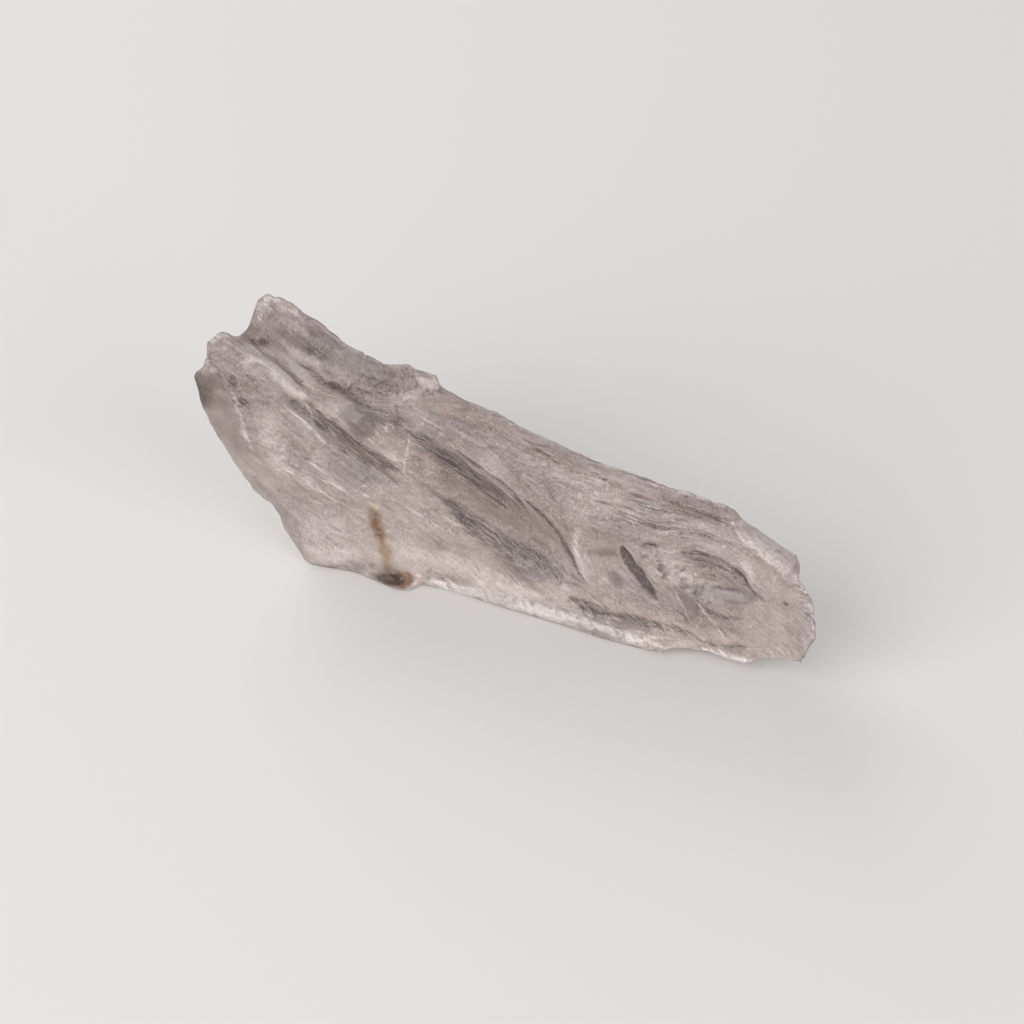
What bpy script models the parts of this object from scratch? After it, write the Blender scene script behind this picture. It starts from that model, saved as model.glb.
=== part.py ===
"""A broken shard of rough quartz, one natural solid lying on its flattest facet.

The shard is lofted from lengthwise edges. Each edge is a short list of points in
millimetres, read from the left end to the right end: X runs along the shard, Y to its
back and Z up. The broad broken front face is then hollowed by scoops and grooves, and
the whole surface is roughened a little. The origin is under the middle of the shard.
"""
import math

import bmesh
import bpy
from mathutils import Vector, noise

# Driving dimensions, in millimetres unless the name says otherwise.
MM = 0.001
CENTRE_X = -0.7            # middle of the shard's length, in the edges' own X
CENTRE_Y = 7.5             # middle of its depth, in the edges' own Y
STATIONS = 80              # cross-sections from the left end to the right end
CAP_RINGS = 2              # rings inside each broken end
LEFT_CAP_BULGE = 0.5       # how far the middle of each end stands out along X
RIGHT_CAP_BULGE = -0.6
SWELL_HEIGHT = 0.22        # unevenness of the broken surface: broad swells
SWELL_SIZE = 3.4
GRAIN_HEIGHT = 0.14        # and small lumps on them
GRAIN_SIZE = 1.3
FLAT_FADE = 1.5            # height over which the unevenness grows from the flat base
SHARP_ANGLE = math.radians(28)

# The lengthwise edges, in order round the section, starting at the front foot.
FOOT = [
    (-29.9, 1.2, 18.3), (-29.4, 0.9, 16.1), (-28.6, 1.0, 12.9), (-27.2, 0.9, 10.7), (-25.8, 0.9, 8.6),
    (-24.9, 1.0, 6.7), (-22.9, 1.8, 4.4), (-22.1, 1.6, 2.4), (-20.9, 1.3, 1.1), (-19.6, 0.6, 0.0),
    (-18.2, 0.6, 0.0), (-14.9, 1.0, 0.0), (-12.3, 0.5, 0.0), (-10.5, 0.1, 0.0), (-9.4, 0.5, 0.0),
    (-8.8, 1.6, 0.0), (-6.1, 1.8, 0.0), (-1.1, 1.4, 0.0), (4.7, 1.1, 0.0), (8.7, 0.7, 0.0),
    (12.4, 0.7, 0.0), (14.5, 0.2, 0.6), (15.3, 0.9, 0.8), (16.7, 1.6, 0.7), (19.6, 1.5, 0.9),
    (22.0, 1.2, 1.0), (23.4, 1.2, 1.9), (24.8, 0.9, 2.7), (27.6, 0.2, 3.6),
]
STRIP = [
    (-28.8, 0.6, 19.5), (-27.2, 0.3, 19.1), (-26.0, 0.2, 16.2), (-25.2, 0.2, 14.1), (-24.2, 0.3, 11.7),
    (-22.6, 0.6, 10.2), (-20.1, 1.0, 8.8), (-17.3, 1.2, 4.0), (-13.4, 1.4, 1.3), (-8.1, 2.0, 0.6),
    (-4.4, 2.4, 0.4), (-1.5, 2.4, 0.5), (2.4, 2.2, 1.2), (6.2, 2.2, 1.0), (8.1, 2.0, 0.9),
    (12.0, 1.8, 0.9), (14.5, 1.4, 1.2), (17.6, 1.8, 1.7), (21.8, 1.6, 2.1), (25.1, 1.2, 4.1),
    (27.9, 0.6, 4.9),
]
LOW = [
    (-28.7, 1.0, 20.5), (-26.0, 1.0, 18.2), (-23.6, 1.2, 14.8), (-19.3, 1.7, 10.0), (-14.7, 2.0, 5.9),
    (-9.2, 2.4, 3.5), (-3.5, 2.6, 3.1), (4.2, 2.4, 3.4), (11.9, 2.0, 3.8), (17.6, 1.6, 4.4),
    (23.3, 1.2, 5.2), (28.5, 1.0, 6.5),
]
MIDDLE = [
    (-28.7, 1.6, 21.4), (-25.8, 1.8, 19.5), (-22.2, 2.0, 15.7), (-16.7, 2.4, 11.9), (-10.2, 2.8, 9.0),
    (-3.6, 2.8, 8.2), (4.2, 2.2, 8.2), (11.9, 1.8, 8.0), (19.4, 1.3, 8.5), (28.0, 1.2, 9.8),
]
HIGH = [
    (-28.2, 2.2, 22.1), (-25.6, 2.6, 20.1), (-21.6, 2.8, 16.4), (-16.4, 3.0, 15.0), (-11.3, 3.2, 13.5),
    (-5.4, 2.8, 12.8), (2.4, 2.0, 12.3), (10.0, 1.6, 11.9), (17.5, 1.4, 11.8), (27.2, 1.3, 11.5),
]
SHOULDER = [
    (-27.4, 2.7, 22.4), (-25.2, 3.2, 20.7), (-21.1, 3.6, 16.9), (-16.7, 3.8, 16.8), (-11.4, 3.6, 17.7),
    (-6.4, 3.0, 18.5), (-1.5, 2.4, 18.2), (3.4, 1.8, 17.3), (8.2, 1.4, 16.3), (12.9, 1.2, 16.2),
    (17.5, 1.2, 15.9), (21.6, 1.2, 15.2), (23.9, 1.2, 13.9), (26.3, 1.2, 12.1),
]
VALLEY = [
    (-27.3, 5.2, 20.1), (-25.5, 6.0, 19.4), (-22.1, 6.4, 16.8), (-17.7, 6.0, 16.1), (-13.6, 5.4, 16.6),
    (-10.6, 5.2, 18.4), (-7.1, 4.8, 18.6), (-2.2, 4.2, 18.0), (3.6, 3.6, 16.8), (9.4, 3.2, 16.0),
    (15.0, 2.9, 15.9), (20.1, 2.8, 15.5), (23.9, 2.6, 14.0), (26.3, 2.4, 12.5),
]
SLOPE = [
    (-26.7, 6.9, 20.4), (-25.2, 7.6, 20.3), (-21.6, 8.0, 18.2), (-17.8, 7.6, 17.3), (-14.0, 7.2, 17.4),
    (-11.4, 6.6, 18.8), (-8.6, 6.0, 18.6), (-2.0, 5.2, 18.0), (5.0, 4.5, 16.6), (12.0, 4.0, 16.0),
    (20.0, 3.5, 15.3), (24.0, 3.3, 13.6), (26.2, 2.7, 12.2),
]
RIDGE = [
    (-26.8, 8.3, 22.1), (-25.9, 8.5, 23.0), (-24.5, 9.0, 22.3), (-21.0, 9.0, 20.5), (-18.0, 8.5, 19.2),
    (-14.7, 8.2, 18.6), (-12.3, 7.8, 19.5), (-9.3, 7.0, 19.6), (-8.8, 6.8, 18.6), (-5.9, 6.4, 18.2),
    (-2.9, 6.0, 18.0), (-1.0, 5.8, 17.5), (2.9, 5.4, 16.7), (6.8, 5.0, 16.1), (11.6, 4.6, 16.0),
    (16.3, 4.3, 15.7), (19.2, 4.0, 15.6), (20.6, 4.0, 14.7), (23.9, 3.8, 13.0), (25.6, 3.4, 12.7),
]
BACK_TOP = [
    (-26.2, 9.8, 20.2), (-22.0, 10.6, 17.4), (-16.0, 10.4, 15.4), (-10.0, 9.4, 15.6), (-4.0, 8.6, 14.4),
    (3.0, 7.8, 13.2), (10.0, 7.2, 12.6), (17.0, 6.6, 12.2), (22.0, 6.0, 11.0), (24.6, 5.4, 10.0),
]
BACK_MIDDLE = [
    (-26.6, 11.0, 16.0), (-22.5, 12.6, 12.0), (-16.0, 13.0, 10.0), (-9.0, 12.4, 9.4), (-2.0, 11.4, 8.4),
    (6.0, 10.4, 8.0), (14.0, 9.0, 8.2), (20.0, 7.8, 7.6), (24.2, 6.6, 7.4),
]
BACK_FOOT = [
    (-26.4, 10.6, 12.6), (-22.6, 13.0, 6.4), (-17.5, 14.6, 3.0), (-11.0, 14.8, 1.8), (-4.0, 13.8, 1.2),
    (4.0, 12.6, 1.6), (12.0, 10.8, 2.4), (19.0, 9.0, 3.6), (24.0, 6.8, 5.4),
]
BASE_BACK = [
    (-27.0, 8.8, 12.8), (-23.0, 10.6, 5.2), (-18.0, 11.6, 0.6), (-15.5, 12.0, 0.0), (-8.0, 12.4, 0.0),
    (0.0, 11.0, 0.0), (7.0, 9.6, 0.0), (12.0, 8.4, 0.0), (16.5, 7.2, 1.2), (21.0, 6.0, 2.4),
    (25.2, 4.8, 4.4),
]
BASE_FRONT = [
    (-29.0, 4.4, 15.4), (-25.8, 4.6, 9.0), (-22.4, 5.0, 3.0), (-19.4, 4.4, 0.0), (-14.0, 4.6, 0.0),
    (-6.0, 5.0, 0.0), (4.0, 4.4, 0.0), (11.5, 4.2, 0.0), (14.5, 3.6, 0.4), (18.0, 4.0, 1.0),
    (22.0, 3.4, 1.5), (26.8, 2.6, 4.0),
]

# (edge, rows of faces up to the next edge, side: 1 follows the front relief, -1 the back relief)
LOOP = [
    (FOOT, 3, 0.0), (STRIP, 4, 0.3), (LOW, 6, 1.0), (MIDDLE, 6, 1.0), (HIGH, 5, 1.0), (SHOULDER, 3, 0.5),
    (VALLEY, 2, 0.2), (SLOPE, 2, 0.1), (RIDGE, 4, 0.0), (BACK_TOP, 5, -0.7), (BACK_MIDDLE, 5, -1.0),
    (BACK_FOOT, 2, -0.2), (BASE_BACK, 4, 0.0), (BASE_FRONT, 3, 0.0),
]
SOFT_EDGES = (4, 7)        # HIGH to SLOPE: the top of the front face rounds over
LEFT_SOFT_PASSES = 2       # smoothing passes by the two prongs, where the edge is crisp
RIGHT_SOFT_PASSES = 12     # and on the rest of the shard
SOFT_FROM_X, SOFT_TO_X = -13.0, -5.0

# Relief of the front face: outlines and paths in X and Z, widths and depths in millimetres.
MAIN_SCOOP = [
    (-14.0, 15.4), (-11.0, 16.0), (-8.0, 15.6), (-4.4, 14.4), (0.5, 12.6), (2.4, 11.2), (4.3, 9.4), (5.7, 6.9),
    (7.2, 2.2), (4.2, 2.6), (2.0, 3.2), (-1.0, 4.4), (-4.0, 5.6), (-7.0, 7.4), (-9.4, 9.4), (-12.0, 12.6),
]
RIGHT_SCOOP = [
    (12.8, 10.2), (15.0, 11.4), (17.5, 11.9), (20.3, 11.0), (22.2, 9.4), (23.6, 7.4), (20.9, 6.8), (17.6, 6.4),
    (14.8, 7.6),
]
LOW_SCOOP = [(-7.3, 4.3), (-3.5, 5.4), (2.0, 2.9), (6.0, 2.2), (0.0, 1.6), (-7.2, 1.4)]
HOLLOWS = [(MAIN_SCOOP, 2.6, 1.2), (RIGHT_SCOOP, 1.8, 0.8), (LOW_SCOOP, 1.2, 0.4)]   # outline, rim, depth

MIDDLE_GROOVE = [(-23.5, 17.4), (-21.0, 15.8), (-18.6, 13.7), (-16.2, 11.5), (-12.5, 10.1), (-8.0, 9.0)]
UPPER_GROOVE = [(-24.0, 18.8), (-20.0, 17.9), (-17.4, 17.0), (-12.5, 15.4)]
NICK_GROOVE = [(9.4, 11.4), (10.4, 10.0), (11.6, 8.0), (12.8, 6.0), (14.0, 4.2)]
GROOVES = [(MIDDLE_GROOVE, 1.4, 0.75), (UPPER_GROOVE, 1.2, 0.45), (NICK_GROOVE, 0.9, 0.5)]   # path, width, depth

# A ledge rises on the left of its path, seen along it, and fades away from it.
LEDGE_RISE = 0.8           # breadth of the rise itself
END_FADE = 0.3             # share of a groove's or a ledge's length over which each end fades
LEFT_LEDGE = [(-26.7, 18.3), (-24.9, 13.9), (-21.0, 8.9), (-17.4, 7.1), (-13.5, 4.6)]
ISLAND_LEDGE = [(-12.5, 10.9), (-14.6, 12.0), (-16.3, 13.5), (-17.6, 15.6)]
TIP_LEDGE = [(5.7, 8.7), (6.4, 6.0), (7.3, 2.8)]
TOP_LEDGE = [(24.0, 10.6), (18.0, 13.2), (10.0, 14.6), (2.0, 15.4)]
LEDGES = [(LEFT_LEDGE, 0.35, 3.0), (ISLAND_LEDGE, -0.3, 2.5), (TIP_LEDGE, 0.45, 2.5), (TOP_LEDGE, -0.3, 2.5)]

# Relief of the back: (middle X, middle Z, half length, half height, depth) of shell-shaped scoops.
BACK_SCOOPS = [(-15.5, 12.0, 7.0, 4.2, 1.3), (0.5, 9.0, 8.5, 4.5, 1.0), (15.0, 8.5, 6.5, 3.0, 0.8)]


def clear_scene():
    for obj in list(bpy.data.objects):
        bpy.data.objects.remove(obj, do_unlink=True)


def ease(value):
    """0 below 0, 1 above 1, with a smooth rise between."""
    value = min(max(value, 0.0), 1.0)
    return value * value * (3.0 - 2.0 * value)


def point_on_edge(edge, share):
    """The point that lies the given share of the way along an edge, measured in X."""
    x = edge[0][0] + share * (edge[-1][0] - edge[0][0])
    for start, end in zip(edge, edge[1:]):
        if x <= end[0] or end is edge[-1]:
            part = (x - start[0]) / (end[0] - start[0])
            return Vector(start).lerp(Vector(end), part)


def path_distance(spot, path):
    """Distance from a spot to a path, above 0 on the path's left, and how far along it that is."""
    nearest, side, along = math.inf, 1.0, 0.0
    for number, (start, end) in enumerate(zip(path, path[1:])):
        start, run = Vector(start), Vector(end) - Vector(start)
        share = min(max((spot - start).dot(run) / run.length_squared, 0.0), 1.0)
        away = spot - start - run * share
        if away.length < nearest:
            nearest, side = away.length, math.copysign(1.0, run.cross(away))
            along = (number + share) / (len(path) - 1)
    return nearest * side, along


def inside(spot, outline):
    """Whether a spot lies inside a closed outline."""
    crossings = 0
    for (x0, z0), (x1, z1) in zip(outline, outline[1:] + outline[:1]):
        if (z0 > spot.y) != (z1 > spot.y):
            crossings += spot.x < x0 + (spot.y - z0) * (x1 - x0) / (z1 - z0)
    return crossings % 2 == 1


def front_relief(spot):
    """How far the front face is sunk at a spot given by X and Z."""
    depth = 0.0
    for outline, rim, deepest in HOLLOWS:
        if inside(spot, outline):
            depth += deepest * ease(abs(path_distance(spot, outline + outline[:1])[0]) / rim)
    for path, width, deepest in GROOVES:
        distance, along = path_distance(spot, path)
        depth += deepest * ease(1.0 - abs(distance) / width) * fade(along)
    for path, height, reach in LEDGES:
        distance, along = path_distance(spot, path)
        depth -= height * ease(0.5 + distance / LEDGE_RISE) * ease(1.0 - distance / reach) * fade(along)
    return depth


def fade(along):
    """1 in the middle of a path, falling to 0 at both its ends."""
    return ease(along / END_FADE) * ease((1.0 - along) / END_FADE)


def back_relief(spot):
    """How far the back is sunk at a spot given by X and Z."""
    depth = 0.0
    for x, z, half_length, half_height, deepest in BACK_SCOOPS:
        reach = math.hypot((spot.x - x) / half_length, (spot.y - z) / half_height)
        depth += deepest * ease(1.0 - reach)
    return depth


def unevenness(point):
    """A small shift of the broken surface, none where it lies flat on the ground."""
    swell = noise.noise_vector(point / SWELL_SIZE) * SWELL_HEIGHT
    grain = noise.noise_vector(point / GRAIN_SIZE) * GRAIN_HEIGHT
    return (swell + grain) * ease(point.z / FLAT_FADE)


def section(share):
    """One closed ring of points round the shard."""
    ring, corners = [], []
    for number, (edge, rows, side) in enumerate(LOOP):
        next_edge, _, next_side = LOOP[(number + 1) % len(LOOP)]
        here, there = point_on_edge(edge, share), point_on_edge(next_edge, share)
        corners.append(len(ring))
        for row in range(rows):
            part = row / rows
            ring.append((here.lerp(there, part), side + (next_side - side) * part))
    points = [point for point, _ in ring]
    first, last = (corners[number] for number in SOFT_EDGES)
    crisp = soften(points, first, last, LEFT_SOFT_PASSES)
    soft = soften(points, first, last, RIGHT_SOFT_PASSES)
    points = [a.lerp(b, ease((a.x - SOFT_FROM_X) / (SOFT_TO_X - SOFT_FROM_X))) for a, b in zip(crisp, soft)]
    return [carve(point, side) for point, (_, side) in zip(points, ring)]


def soften(points, first, last, passes):
    """A copy of a ring's points with the corners in one stretch rounded."""
    points = list(points)
    for _ in range(passes):
        before = list(points)
        for k in range(first, last + 1):
            points[k] = (before[k - 1] + 2.0 * before[k] + before[k + 1]) / 4.0
    return points


def carve(point, side):
    """Sink a point by the relief of its side, then shift it by the surface's unevenness."""
    spot = Vector((point.x, point.z))
    sunk = front_relief(spot) * max(side, 0.0) - back_relief(spot) * max(-side, 0.0)
    point = point + Vector((0.0, sunk, 0.0))
    point += unevenness(point)
    point.z = max(point.z, 0.0)
    return point


def close_end(bm, ring, bulge):
    """Close a broken end with rings that shrink to its middle."""
    around = len(ring)
    middle = sum((vert.co for vert in ring), Vector((around * bulge, 0.0, 0.0))) / around
    outer = ring
    for number in range(1, CAP_RINGS + 1):
        share = number / (CAP_RINGS + 1)
        inner = [bm.verts.new(vert.co.lerp(middle, share)) for vert in ring]
        for k in range(around):
            n = (k + 1) % around
            bm.faces.new((outer[k], outer[n], inner[n], inner[k]))
        outer = inner
    tip = bm.verts.new(middle)
    for k in range(around):
        bm.faces.new((outer[k], outer[(k + 1) % around], tip))


def build_mesh():
    """The shard's closed skin, in metres, with the origin under its middle."""
    bm = bmesh.new()
    rings = [[bm.verts.new(point) for point in section(number / (STATIONS - 1))] for number in range(STATIONS)]
    around = len(rings[0])
    for left, right in zip(rings, rings[1:]):
        for k in range(around):
            n = (k + 1) % around
            bm.faces.new((left[k], right[k], right[n], left[n]))
    close_end(bm, rings[0], LEFT_CAP_BULGE)
    close_end(bm, rings[-1], RIGHT_CAP_BULGE)
    for vert in bm.verts:
        vert.co = (vert.co - Vector((CENTRE_X, CENTRE_Y, 0.0))) * MM
    bmesh.ops.triangulate(bm, faces=bm.faces)
    bmesh.ops.recalc_face_normals(bm, faces=bm.faces)
    mesh = bpy.data.meshes.new("quartz_crystal")
    bm.to_mesh(mesh)
    bm.free()
    return mesh


def quartz_material():
    """Milky, faintly pink quartz with a frosted surface."""
    material = bpy.data.materials.new("quartz")
    material.use_nodes = True
    shader = material.node_tree.nodes["Principled BSDF"]
    shader.inputs["Base Color"].default_value = (0.62, 0.54, 0.51, 1.0)
    shader.inputs["Roughness"].default_value = 0.35
    shader.inputs["Metallic"].default_value = 0.0
    shader.inputs["IOR"].default_value = 1.544
    shader.inputs["Transmission Weight"].default_value = 0.6
    return material


def main():
    clear_scene()
    shard = bpy.data.objects.new("quartz_crystal", build_mesh())
    bpy.context.scene.collection.objects.link(shard)
    shard.data.materials.append(quartz_material())
    shard.data.shade_smooth()
    shard.data.set_sharp_from_angle(angle=SHARP_ANGLE)


main()
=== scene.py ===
# %% [markdown]
# # A broken shard of cloudy quartz
#
# The real object is one natural piece: a long splinter broken from a milky quartz
# crystal. It has no parts to put together. What makes it look like quartz is its
# surface, with curved break scars, fine parallel ripples, crumbled rims and clear
# windows in a frosted skin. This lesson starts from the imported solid, refines a copy
# of it, carves the fine relief in code and then gives it a see-through stone.

# %% Load the solid and measure it
import math

import bmesh
import bpy
import numpy as np
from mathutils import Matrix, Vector, noise


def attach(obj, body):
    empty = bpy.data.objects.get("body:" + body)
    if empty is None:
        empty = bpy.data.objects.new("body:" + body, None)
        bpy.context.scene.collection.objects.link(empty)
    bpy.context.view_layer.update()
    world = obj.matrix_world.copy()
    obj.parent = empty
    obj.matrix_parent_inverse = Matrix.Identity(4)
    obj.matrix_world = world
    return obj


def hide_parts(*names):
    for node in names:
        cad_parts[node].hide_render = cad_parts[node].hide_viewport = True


MM = 0.001
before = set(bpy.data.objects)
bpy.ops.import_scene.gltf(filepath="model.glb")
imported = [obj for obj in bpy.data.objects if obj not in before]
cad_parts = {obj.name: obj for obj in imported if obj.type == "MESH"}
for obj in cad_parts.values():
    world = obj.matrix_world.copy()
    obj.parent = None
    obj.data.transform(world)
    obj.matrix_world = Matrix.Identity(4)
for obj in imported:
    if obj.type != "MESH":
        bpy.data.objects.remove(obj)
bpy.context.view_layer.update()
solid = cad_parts["quartz_crystal"]

# %% [markdown]
# ## A finer skin
#
# The solid has triangles about 0.8 mm wide, and the ripples of the break are finer than
# that. A Subdivision Surface modifier would round the sharp ends too much, so the edges
# are cut instead, which keeps each corner where it is. The broken front face carries
# most of the marks, so it is cut twice.

# %% Cut the triangles smaller
FRONT = Vector((0.25, -0.70, 0.65))    # the way the front face and the top look, on average
FRONT_LIMIT = 0.5                      # a face that looks this way or more gets the second cut
WELD = 0.002 * MM


def finer_skin(source):
    """A copy of the solid's mesh with 9 small triangles for each big one, and 36 on the front."""
    bm = bmesh.new()
    bm.from_mesh(source.data)
    bmesh.ops.remove_doubles(bm, verts=bm.verts, dist=WELD)
    bmesh.ops.subdivide_edges(bm, edges=bm.edges, cuts=2, use_grid_fill=True)
    bmesh.ops.triangulate(bm, faces=bm.faces)
    bm.normal_update()
    front_edges = {edge for face in bm.faces if face.normal.dot(FRONT) > FRONT_LIMIT for edge in face.edges}
    bmesh.ops.subdivide_edges(bm, edges=sorted(front_edges, key=lambda edge: edge.index), cuts=1,
                              use_grid_fill=True)
    bmesh.ops.triangulate(bm, faces=bm.faces)
    bmesh.ops.recalc_face_normals(bm, faces=bm.faces)
    mesh = bpy.data.meshes.new("quartz_skin")
    bm.to_mesh(mesh)
    bm.free()
    return mesh


skin = finer_skin(solid)
print("triangles in the skin:", len(skin.polygons))

# %% [markdown]
# ## Smooth without shrinking
#
# Plain smoothing takes the flat look off the old triangles, but it also pulls every
# corner inwards, so the shard would get smaller. Each smoothing step is followed by a
# slightly stronger step back outwards. That removes the small facets and keeps the size.
# What the sharpest ends still lost is spread out evenly and given back.

# %% Smooth the skin
SMOOTH_ROUNDS = 6
STEP_IN, STEP_OUT = 0.5, -0.53         # share of the way to the neighbours' middle
GIVE_BACK, GIVE_BACK_SPREAD = 2.5, 6   # share of what the ends lost, and the passes that spread it
BASE_HEIGHT = 0.05                     # millimetres; below this the skin lies flat on the ground


def read_vectors(mesh, name):
    values = np.zeros(len(mesh.vertices) * 3)
    mesh.vertices.foreach_get(name, values)
    return values.reshape(-1, 3)


def write_points(mesh, places):
    mesh.vertices.foreach_set("co", (places * MM).ravel())
    mesh.update()


points = read_vectors(skin, "co") / MM
edge_ends = np.zeros(len(skin.edges) * 2, dtype=np.int64)
skin.edges.foreach_get("vertices", edge_ends)
edge_from, edge_to = edge_ends.reshape(-1, 2).T
neighbours = np.bincount(edge_ends, minlength=len(points)).astype(float)


def neighbour_mean(values):
    """For every point, the mean over the points joined to it by an edge."""
    from_ends = np.bincount(edge_from, values[edge_to], len(values))
    to_ends = np.bincount(edge_to, values[edge_from], len(values))
    return (from_ends + to_ends) / neighbours


def middles_of(places):
    return np.column_stack([neighbour_mean(places[:, axis]) for axis in range(3)])


loose = (points[:, 2] > BASE_HEIGHT)[:, None]
corners = points.copy()
for _ in range(SMOOTH_ROUNDS):
    for step in (STEP_IN, STEP_OUT):
        points += np.where(loose, step * (middles_of(points) - points), 0.0)
lost = corners - points
for _ in range(GIVE_BACK_SPREAD):
    lost = middles_of(lost)
points += np.where(loose, GIVE_BACK * lost, 0.0)
write_points(skin, points)
print("smoothed box in mm:", points.min(axis=0).round(1), points.max(axis=0).round(1))

# %% [markdown]
# ## Two sheets to draw on
#
# Every mark has to be put somewhere. The front face is steep and the top band is nearly
# flat, so neither X and Z nor X and Y reach both. A slanted sheet does: "across" is X
# with some of the depth added, and "up" is Z with most of the depth added. The back is
# steep all over, so its sheet is plain X and Z. All places below are millimetres on
# one of these sheets.

# %% Read the skin
FRONT_Y = -7.5             # the front foot of the shard
ACROSS_PER_DEPTH = 0.394
UP_PER_DEPTH = 0.902
FRONT_START, FRONT_FADE = -0.10, 0.30  # where the front's marks begin, and how softly


def ease(value):
    """0 below 0, 1 above 1, with a smooth rise between."""
    value = np.clip(value, 0.0, 1.0)
    return value * value * (3.0 - 2.0 * value)


normals = read_vectors(skin, "normal")
depth = points[:, 1] - FRONT_Y
front_flat = np.column_stack((points[:, 0] + ACROSS_PER_DEPTH * depth, points[:, 2] + UP_PER_DEPTH * depth))
back_flat = points[:, (0, 2)].copy()
front_share = ease((normals @ np.array(FRONT) - FRONT_START) / FRONT_FADE)
print("front sheet reaches from", front_flat.min(axis=0).round(1), "to", front_flat.max(axis=0).round(1))


# %% Noise that can be drawn out along a direction
SEED_STEP = 17.3           # each seed takes the noise from another place


def noise_at(rows):
    return np.array([noise.noise(Vector(row)) for row in rows])


def noise_field(size, seed, turn=0.0, stretch=1.0):
    """Smooth noise on the skin, from -1 to 1. Turn and stretch lay it in streaks on the front."""
    along = np.array((math.cos(turn), 0.0, math.sin(turn)))
    across = np.array((-math.sin(turn), 0.0, math.cos(turn)))
    rows = np.column_stack((points @ along / stretch, points[:, 1], points @ across)) / size
    return noise_at(rows + seed * SEED_STEP)


# %% [markdown]
# ## Streaks and patches
#
# A mark is either a streak along a path or a patch inside an outline. Painting an image
# and unwrapping the shard would also work, but an image can't carve. A number for every
# point does both: it colours the stone in the shader and moves the skin. The sheets are
# bent a little by noise first, so that no mark has a ruled border.

# %% Drawing tools
BEND_BIG, BEND_SMALL = 0.13, 0.09      # millimetres
PATH_STEPS = 4                         # straight pieces between two points of a path
TAPER = 0.25                           # share of a streak's length over which each end fades
END_WIDTH, END_STRENGTH = 0.3, 0.35    # what is left of a streak at its ends
MARGIN = 1.0                           # millimetres looked at beyond a mark's own box

big_bend = [noise_field(1.5, seed) for seed in (5.0, 7.0)]
small_bend = [noise_field(0.45, seed) for seed in (6.0, 8.0)]


def curve_through(path):
    """More points on a smooth curve through a path's own points."""
    if len(path) < 3:
        return [np.array(point) for point in path]
    own = [np.array(point) for point in (path[0], *path, path[-1])]
    curve = []
    for before, start, end, after in zip(own, own[1:], own[2:], own[3:]):
        for step in range(PATH_STEPS):
            t = step / PATH_STEPS
            curve.append(0.5 * (2 * start + (end - before) * t + (2 * before - 5 * start + 4 * end - after) * t ** 2
                                + (3 * start - before - 3 * end + after) * t ** 3))
    curve.append(own[-1])
    return curve


def path_distance(flat, path):
    """For every point: distance to a path, above 0 on its left, and the share of its length passed."""
    nearest = np.full(len(flat), np.inf)
    signed = np.zeros(len(flat))
    along = np.zeros(len(flat))
    for number, (start, end) in enumerate(zip(path, path[1:])):
        run = end - start
        offset = flat - start
        share = np.clip(offset @ run / (run @ run), 0.0, 1.0)
        away = offset - share[:, None] * run
        distance = np.hypot(away[:, 0], away[:, 1])
        closer = distance < nearest
        side = np.sign(run[0] * away[:, 1] - run[1] * away[:, 0])
        nearest = np.where(closer, distance, nearest)
        signed = np.where(closer, distance * side, signed)
        along = np.where(closer, (number + share) / (len(path) - 1), along)
    return signed, along


class Sheet:
    """One side of the shard laid flat, and how much each point of the skin belongs to it."""

    def __init__(self, flat, share):
        self.flat = flat + np.column_stack([BEND_BIG * big + BEND_SMALL * small
                                            for big, small in zip(big_bend, small_bend)])
        self.share = share

    def close_to(self, path, reach):
        """The numbers of the points within reach of a path's surrounding box."""
        corners = np.array(path)
        low, high = corners.min(axis=0) - reach, corners.max(axis=0) + reach
        near = np.all((self.flat > low) & (self.flat < high), axis=1) & (self.share > 0.0)
        return np.nonzero(near)[0]

    def streak(self, path, width, taper=TAPER):
        """1 on a path, falling softly to 0 at its width, and thinner towards both ends."""
        curve = curve_through(path)
        near = self.close_to(path, width + MARGIN)
        signed, along = path_distance(self.flat[near], curve)
        ends = np.minimum(ease(along / taper), ease((1.0 - along) / taper))
        reach = width * (END_WIDTH + (1.0 - END_WIDTH) * ends)
        strength = END_STRENGTH + (1.0 - END_STRENGTH) * ends
        mark = np.zeros(len(self.flat))
        mark[near] = ease(1.0 - np.abs(signed) / reach) * strength * self.share[near]
        return mark

    def patch(self, outline, rim):
        """1 well inside a closed outline, falling softly to 0 at its border."""
        curve = curve_through([*outline, outline[0]])
        near = self.close_to(outline, MARGIN)
        flat = self.flat[near]
        inside = np.zeros(len(flat), dtype=bool)
        for (x0, y0), (x1, y1) in zip(curve, curve[1:]):
            if y0 != y1:
                crosses = (y0 > flat[:, 1]) != (y1 > flat[:, 1])
                inside ^= crosses & (flat[:, 0] < x0 + (flat[:, 1] - y0) * (x1 - x0) / (y1 - y0))
        mark = np.zeros(len(self.flat))
        signed, _ = path_distance(flat, curve)
        mark[near] = np.where(inside, ease(np.abs(signed) / rim), 0.0) * self.share[near]
        return mark


front = Sheet(front_flat, front_share)
back = Sheet(back_flat, 1.0 - front_share)
print("points mostly on the front:", int((front.share > 0.5).sum()), "and on the back:", int((back.share > 0.5).sum()))

# %% [markdown]
# ## Ripples that run with the break
#
# Fracture ripples follow the crack that made them. Three families show here: straight
# ones that slope down over the left and middle, level ones near the top right, and
# curved ones that follow the two scoops and close up towards the main scoop's tip. Each
# family is noise stretched along its own direction, mixed by soft masks.

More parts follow.
